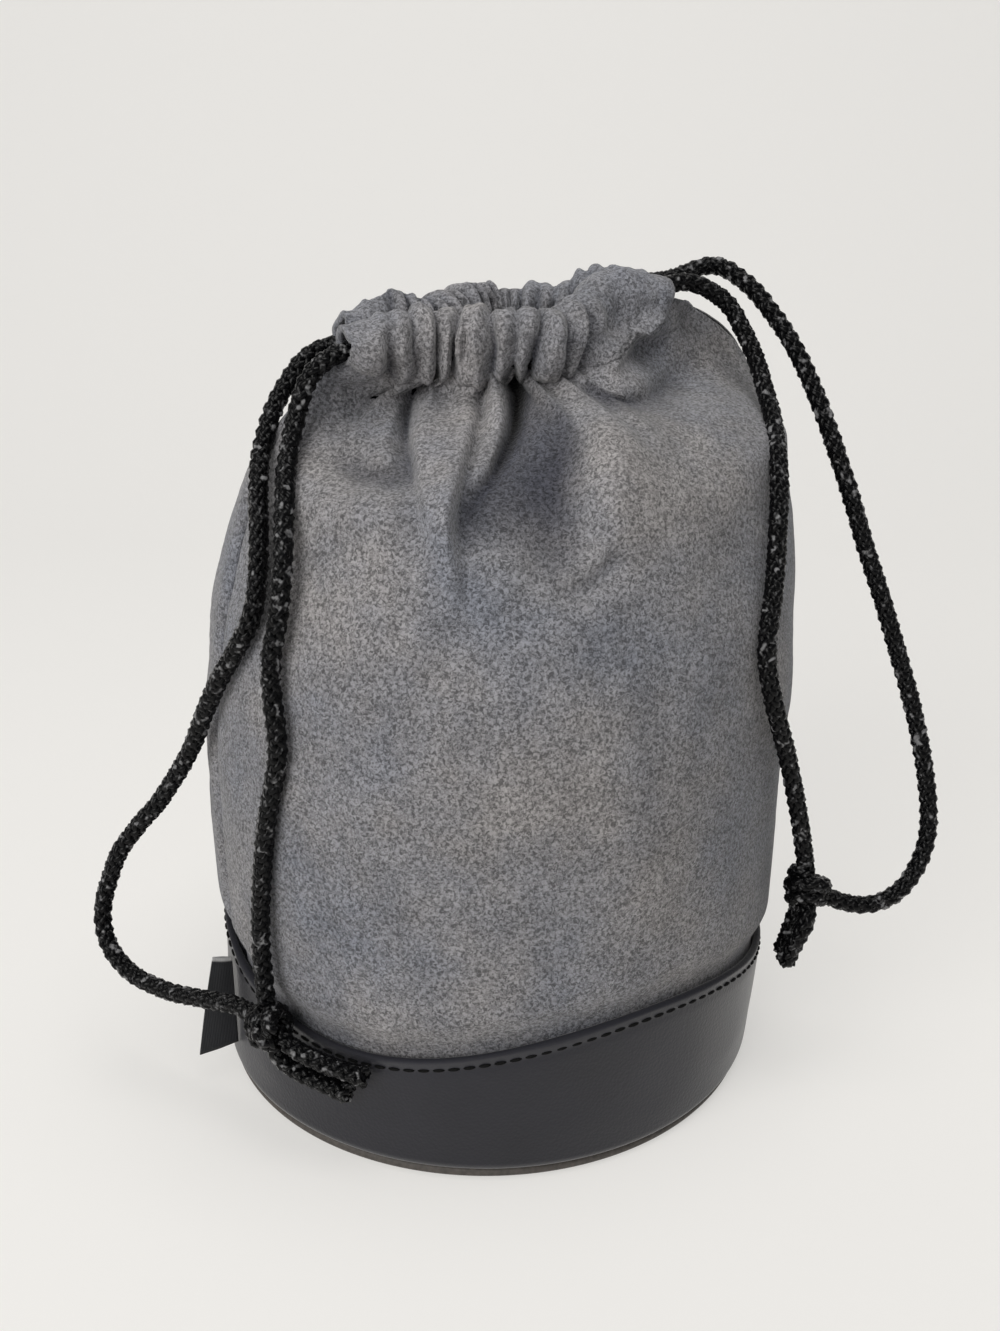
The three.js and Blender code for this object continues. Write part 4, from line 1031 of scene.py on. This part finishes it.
def braid_tree():
    """A round braid along a path: half the yarns turn one way and half the other, over and under in turn."""
    tree, entry, leave = new_tree("braided cord")
    for name, value in (
        ("Turn length", BRAID_TURN),
        ("Braid radius", BRAID_RADIUS),
        ("Wave", BRAID_WAVE),
        ("Yarn radius", YARN_RADIUS),
        ("Step", BRAID_STEP),
        ("Flare", 0.0),
    ):
        socket_in(tree, name, "NodeSocketFloat", value)
    socket_in(tree, "Yarns", "NodeSocketInt", BRAID_YARNS)
    socket_in(tree, "Finish", "NodeSocketMaterial")
    given = entry.outputs

    def times(first, second):
        return number(tree, "MULTIPLY", first, second)

    def vector(how, **wires):
        return add_node(tree, "ShaderNodeVectorMath", {"operation": how}, **wires).outputs[0]

    path = add_node(tree, "GeometryNodeMeshToCurve", i0=given["Path"]).outputs[0]
    length = add_node(tree, "GeometryNodeCurveLength", i0=path).outputs[0]
    count = number(tree, "DIVIDE", length, given["Step"])
    straight = add_node(tree, "GeometryNodeCurvePrimitiveLine").outputs[0]
    spaced = add_node(tree, "GeometryNodeResampleCurve", {"mode": "COUNT"}, Curve=straight, Count=count).outputs[0]
    yarns = add_node(
        tree, "GeometryNodeDuplicateElements", {"domain": "SPLINE"}, Geometry=spaced, Amount=given["Yarns"]
    )
    factor = add_node(tree, "GeometryNodeSplineParameter").outputs["Factor"]
    sample = add_node(
        tree, "GeometryNodeSampleCurve", {"mode": "FACTOR", "use_all_curves": False}, Curves=path, Factor=factor
    )
    # Odd yarns turn the other way, and each pair starts a quarter of a turn on from the last.
    index = yarns.outputs["Duplicate Index"]
    odd = number(tree, "MODULO", index, 2.0)
    way = number(tree, "SUBTRACT", 1.0, times(odd, 2.0))
    phase = times(number(tree, "DIVIDE", times(length, factor), given["Turn length"]), 2 * math.pi)
    pair = number(tree, "FLOOR", number(tree, "DIVIDE", index, 2.0))
    start = number(tree, "ADD", times(pair, math.pi / 2), times(odd, math.pi / 4))
    angle = number(tree, "ADD", times(phase, way), start)
    # A yarn's distance from the middle waves over and under the others, and flares where the cord is cut.
    over = times(number(tree, "SINE", times(phase, 4.0)), way)
    open_end = add_node(tree, "ShaderNodeMapRange", {"interpolation_type": "SMOOTHSTEP"}, Value=factor)
    open_end.inputs["From Min"].default_value = FLARE_START
    radius = number(tree, "ADD", given["Braid radius"], times(over, given["Wave"]))
    radius = number(tree, "ADD", radius, times(open_end.outputs["Result"], given["Flare"]))
    normal = sample.outputs["Normal"]
    across = vector("CROSS_PRODUCT", i0=sample.outputs["Tangent"], i1=normal)
    one = vector("SCALE", i0=normal, Scale=times(number(tree, "COSINE", angle), radius))
    two = vector("SCALE", i0=across, Scale=times(number(tree, "SINE", angle), radius))
    place = vector("ADD", i0=sample.outputs["Position"], i1=vector("ADD", i0=one, i1=two))
    wound = add_node(tree, "GeometryNodeSetPosition", Geometry=yarns.outputs[0], Position=place)
    section = add_node(
        tree, "GeometryNodeCurvePrimitiveCircle", Resolution=YARN_SIDES, Radius=given["Yarn radius"]
    )
    tube = add_node(tree, "GeometryNodeCurveToMesh", Curve=wound.outputs[0])
    tree.links.new(section.outputs[0], tube.inputs["Profile Curve"])
    tube.inputs["Fill Caps"].default_value = True
    given_out(tree, leave, tube.outputs[0], given["Finish"])
    return tree


def smooth_path(points, step=PATH_STEP):
    """Evenly spaced points on a smooth curve through the given ones, and its length."""
    known = np.array(points, dtype=float)
    gaps = np.sqrt(np.linalg.norm(np.diff(known, axis=0), axis=1))
    places = np.concatenate([[0], np.cumsum(gaps)])
    slopes = np.gradient(known, places, axis=0)
    dense = curve_through(places, known, slopes, np.linspace(0, places[-1], 40 * len(known)))
    run = distances(dense)
    even = np.linspace(0, run[-1], max(4, int(run[-1] / step)))
    return np.stack([np.interp(even, run, dense[:, axis]) for axis in range(3)], axis=-1), run[-1]


braid_finish, braid_nodes, braid_shader = finish_of("black braid", Specular_IOR_Level=0.15)
braid_fibre = texture(braid_nodes, "Noise", 2800, Detail=2)
braid_glint_spots = texture(braid_nodes, "Noise", 620, Detail=1)
# Painted highlights: sparse pale spots in the braid's colour stand in for the glints of light on the yarns.
braid_colour_and_glints = ramp(
    braid_nodes,
    braid_glint_spots,
    (0.57, (0.002, 0.002, 0.0024)),
    (0.63, (0.02, 0.02, 0.021)),
    (0.71, (0.19, 0.19, 0.195)),
)
braid_nodes.links.new(braid_colour_and_glints, braid_shader.inputs["Base Color"])
braid_rough = ramp(braid_nodes, braid_fibre, (0.3, grey(0.16)), (0.7, grey(0.28)))
braid_nodes.links.new(braid_rough, braid_shader.inputs["Roughness"])
raised(braid_nodes, braid_shader, braid_fibre, 0.12 * mm, 0.45)
braid = braid_tree()

# How each drawstring runs, in mm: its end of the mouth, the height of its leads and where they start in the casing,
# their way on from there, the knot, the strands' places down to the knot, the tails', and the short line over which
# each strand passes from sliding with its lead to swinging with the loop.
DRAWSTRINGS = {
    "left": {
        "end": -1,
        "level": 156.1,
        "inside": -15,
        "lead": [(0, 0), (-10, 1.8), (-17, 2.2), (-21.5, 0.2)],
        "knot": (-60.6, -27.3, 29.5),
        "knot_axis": (0.35, -0.85, 0.4),
        "front": [
            (-39.6, -4.6, 152.8), (-42, -5.4, 147), (-45.6, -9.8, 139.4), (-48.8, -17.2, 132.3),
            (-51.1, -22.6, 124.8), (-53.4, -25.1, 114.1), (-55.2, -25.2, 106.3), (-55.8, -26.9, 98.5),
            (-55.9, -28.6, 92.6), (-56.2, -29, 87.7), (-57, -28.1, 82.5), (-58.3, -26.7, 74.7),
            (-59.1, -25.4, 66.6), (-59.7, -24.3, 58.5), (-60.2, -23.6, 49.5), (-60.4, -24, 42),
            (-60.5, -25.5, 36),
        ],
        "rear": [
            (-39.8, 4.4, 152.8), (-43, 3.4, 148.8), (-47.4, -0.6, 141.8), (-51, -8.2, 135),
            (-52.8, -13.3, 127.2), (-54.5, -16.4, 119.1), (-56.2, -17.8, 113.3), (-58.4, -15.6, 107.1),
            (-61.2, -10.4, 99.1), (-63.3, -4.6, 90.6), (-65.8, 3, 78.5), (-71.6, 9, 66), (-75.9, 12.3, 59.6),
            (-80, 14.6, 53.3), (-82.4, 15.8, 47.2), (-84.4, 15.9, 41.4), (-85.3, 14.3, 36.3),
            (-84.6, 10.7, 32), (-81.7, 5.1, 28.6), (-75.9, -3.4, 27.6), (-70, -11.8, 29), (-64.8, -19.5, 30.5),
        ],
        "upper_tail": [(-57.2, -33.2, 26.8), (-52.1, -38.4, 24.8), (-46.3, -43.9, 23.8)],
        "lower_tail": [(-59.4, -28.6, 22.9), (-56.8, -31.5, 20.5), (-52.7, -36.5, 19.4), (-48.9, -41, 18.7)],
        "bends": {
            "front": ((-36, -4.5, 156.6), (-40.5, -4.6, 151.5)),
            "rear": ((-36, 4.5, 156.6), (-40.5, 4.4, 152)),
        },
    },
    "right": {
        "end": 1,
        "level": 167.9,
        "inside": 29,
        "lead": [(0, 0), (9, 0), (16.5, 0.4)],
        "knot": (52.8, -50.2, 45.8),
        "knot_axis": (0.2, 0.1, 1),
        "front": [
            (53.3, -6.5, 164), (55.2, -10.2, 158.8), (56, -14, 153.8), (55.4, -18.8, 148.3),
            (52.2, -27.4, 142.4), (48, -35.4, 137.2), (45.2, -40.6, 131.8), (43.2, -43.6, 126.2),
            (41.6, -46, 119.3), (39, -49.4, 113.5), (36.2, -52.4, 106.7), (35.4, -53.8, 101.5),
            (36.5, -54.4, 95.2), (39.8, -53.2, 87.4), (44.2, -51, 78.4), (47.8, -50.2, 68),
            (50.4, -50, 58.5), (51.8, -50, 52),
        ],
        "rear": [
            (55, 1.6, 171), (59.2, -5, 167.6), (62.5, -11.5, 161), (64.2, -16.5, 155.3), (65.5, -21, 149),
            (66.5, -25.5, 142), (67.6, -29.5, 134.5), (69, -33.5, 126), (70.8, -37.3, 116),
            (73, -40.8, 106.5), (75.8, -44.2, 95), (78.4, -47.6, 83.5), (80.3, -50.7, 72), (80.9, -53.6, 61),
            (79.8, -55.5, 54.5), (76.8, -56.6, 48.3), (72, -56.5, 43), (66, -55, 40.8), (60.3, -52.8, 41.8),
        ],
        "upper_tail": [(50.7, -53.3, 39.7), (48.9, -52.3, 33.8), (48.1, -50.7, 28.8)],
        "lower_tail": [(53.9, -46.7, 39.9), (52.6, -45.7, 33.3), (51.6, -45, 27.3)],
        "bends": {
            "front": ((50, -3.6, 169.4), (53.6, -7.4, 162.8)),
            "rear": ((48, 4.5, 168.4), (55, 0.3, 168.4)),
        },
    },
}
LEAD_Y = 4.5
RUN_START = 14.9
RUN_END = 0.88
RUN_TURN = 4.2
RUN_POINTS = 15
KNOT_RADIUS = 3.3 * mm
KNOT_PITCH = 3.5 * mm
KNOT_TURNS = 2.3
KNOT_LEAN = 1.1 * mm
KNOT_STEPS = 60
TAIL_FLARE = 0.35 * mm


def run_path(end, lead_height):
    """The stretch of a drawstring that stays in the casing: along the front, round the far end and back."""
    level = lead_height * mm - STITCH_HEIGHT - (MOUTH_RISE if end > 0 else 0)
    start = RUN_START * mm / (2 * MOUTH_HALF_LENGTH)
    shares = np.linspace(start, RUN_END, RUN_POINTS)
    halves = []
    for side in (-1, 1):
        u = shares if end < 0 else 1 - shares
        half = plan_point(side, u, np.full(RUN_POINTS, STITCH_HEIGHT))
        half[:, 2] += level
        halves.append(half if side < 0 else half[::-1])
    far_x = LEANS[-1] - end * (2 * RUN_END - 1) * MOUTH_HALF_LENGTH
    turn = []
    for degrees in (-60, -30, 0, 30, 60):
        angle = math.radians(degrees)
        reach = (1 + (RUN_TURN - 1) * math.cos(angle)) * mm
        turn.append((far_x - end * reach, LEAD_Y * mm * math.sin(angle), halves[0][-1][2]))
    return np.concatenate([halves[0], np.array(turn), halves[1]])


def knot_path(centre, axis):
    """The wraps of a knot: a close helix round its axis that leans across itself."""
    axis = unit(np.array(axis, dtype=float))
    first = unit(np.cross(axis, (0.3, 1, 0.2)))
    second = np.cross(axis, first)
    path = []
    for step in range(KNOT_STEPS + 1):
        share = step / KNOT_STEPS
        angle = 2 * math.pi * KNOT_TURNS * (share - 0.5)
        lift = KNOT_PITCH * KNOT_TURNS * 0.75 * (share - 0.5) + KNOT_LEAN * math.sin(angle + 0.6)
        reach = KNOT_RADIUS * (0.72 + 0.28 * math.sin(math.pi * share) ** 0.5)
        path.append(
            np.array(centre) * mm
            + axis * lift
            + first * reach * math.cos(angle)
            + second * reach * math.sin(angle)
        )
    return np.array(path)


for name, cord in DRAWSTRINGS.items():
    level = cord["level"]
    run_points, _ = smooth_path(run_path(cord["end"], level))
    run = made_along(name + "_run_braid", braid, run_points, finish=braid_finish)
    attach(run, "pouch")
    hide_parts(name + "_cord_run")

    knot_points, _ = smooth_path(knot_path(cord["knot"], cord["knot_axis"]), SHORT_STEP)
    knot = made_along(name + "_knot_braid", braid, knot_points, finish=braid_finish)
    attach(knot, name + "_loop")
    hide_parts(name + "_knot")

    for tail in ("upper_tail", "lower_tail"):
        tail_points, _ = smooth_path(np.array([cord["knot"], *cord[tail]]) * mm, SHORT_STEP)
        piece = made_along(f"{name}_{tail}_braid", braid, tail_points, finish=braid_finish, flare=TAIL_FLARE)
        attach(piece, name + "_loop")
        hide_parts(f"{name}_{tail}")

    for way, side in (("front", -1), ("rear", 1)):
        lead = [(cord["inside"] + x, side * LEAD_Y, level + z) for x, z in cord["lead"]]
        route = np.array([*lead, *cord[way], cord["knot"]]) * mm
        cord_points, cord_length = smooth_path(route)
        piece = made_along(f"{name}_{way}_braid", braid, cord_points, finish=braid_finish)
        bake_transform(piece)
        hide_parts(f"{name}_{way}_lead", f"{name}_{way}_strand")
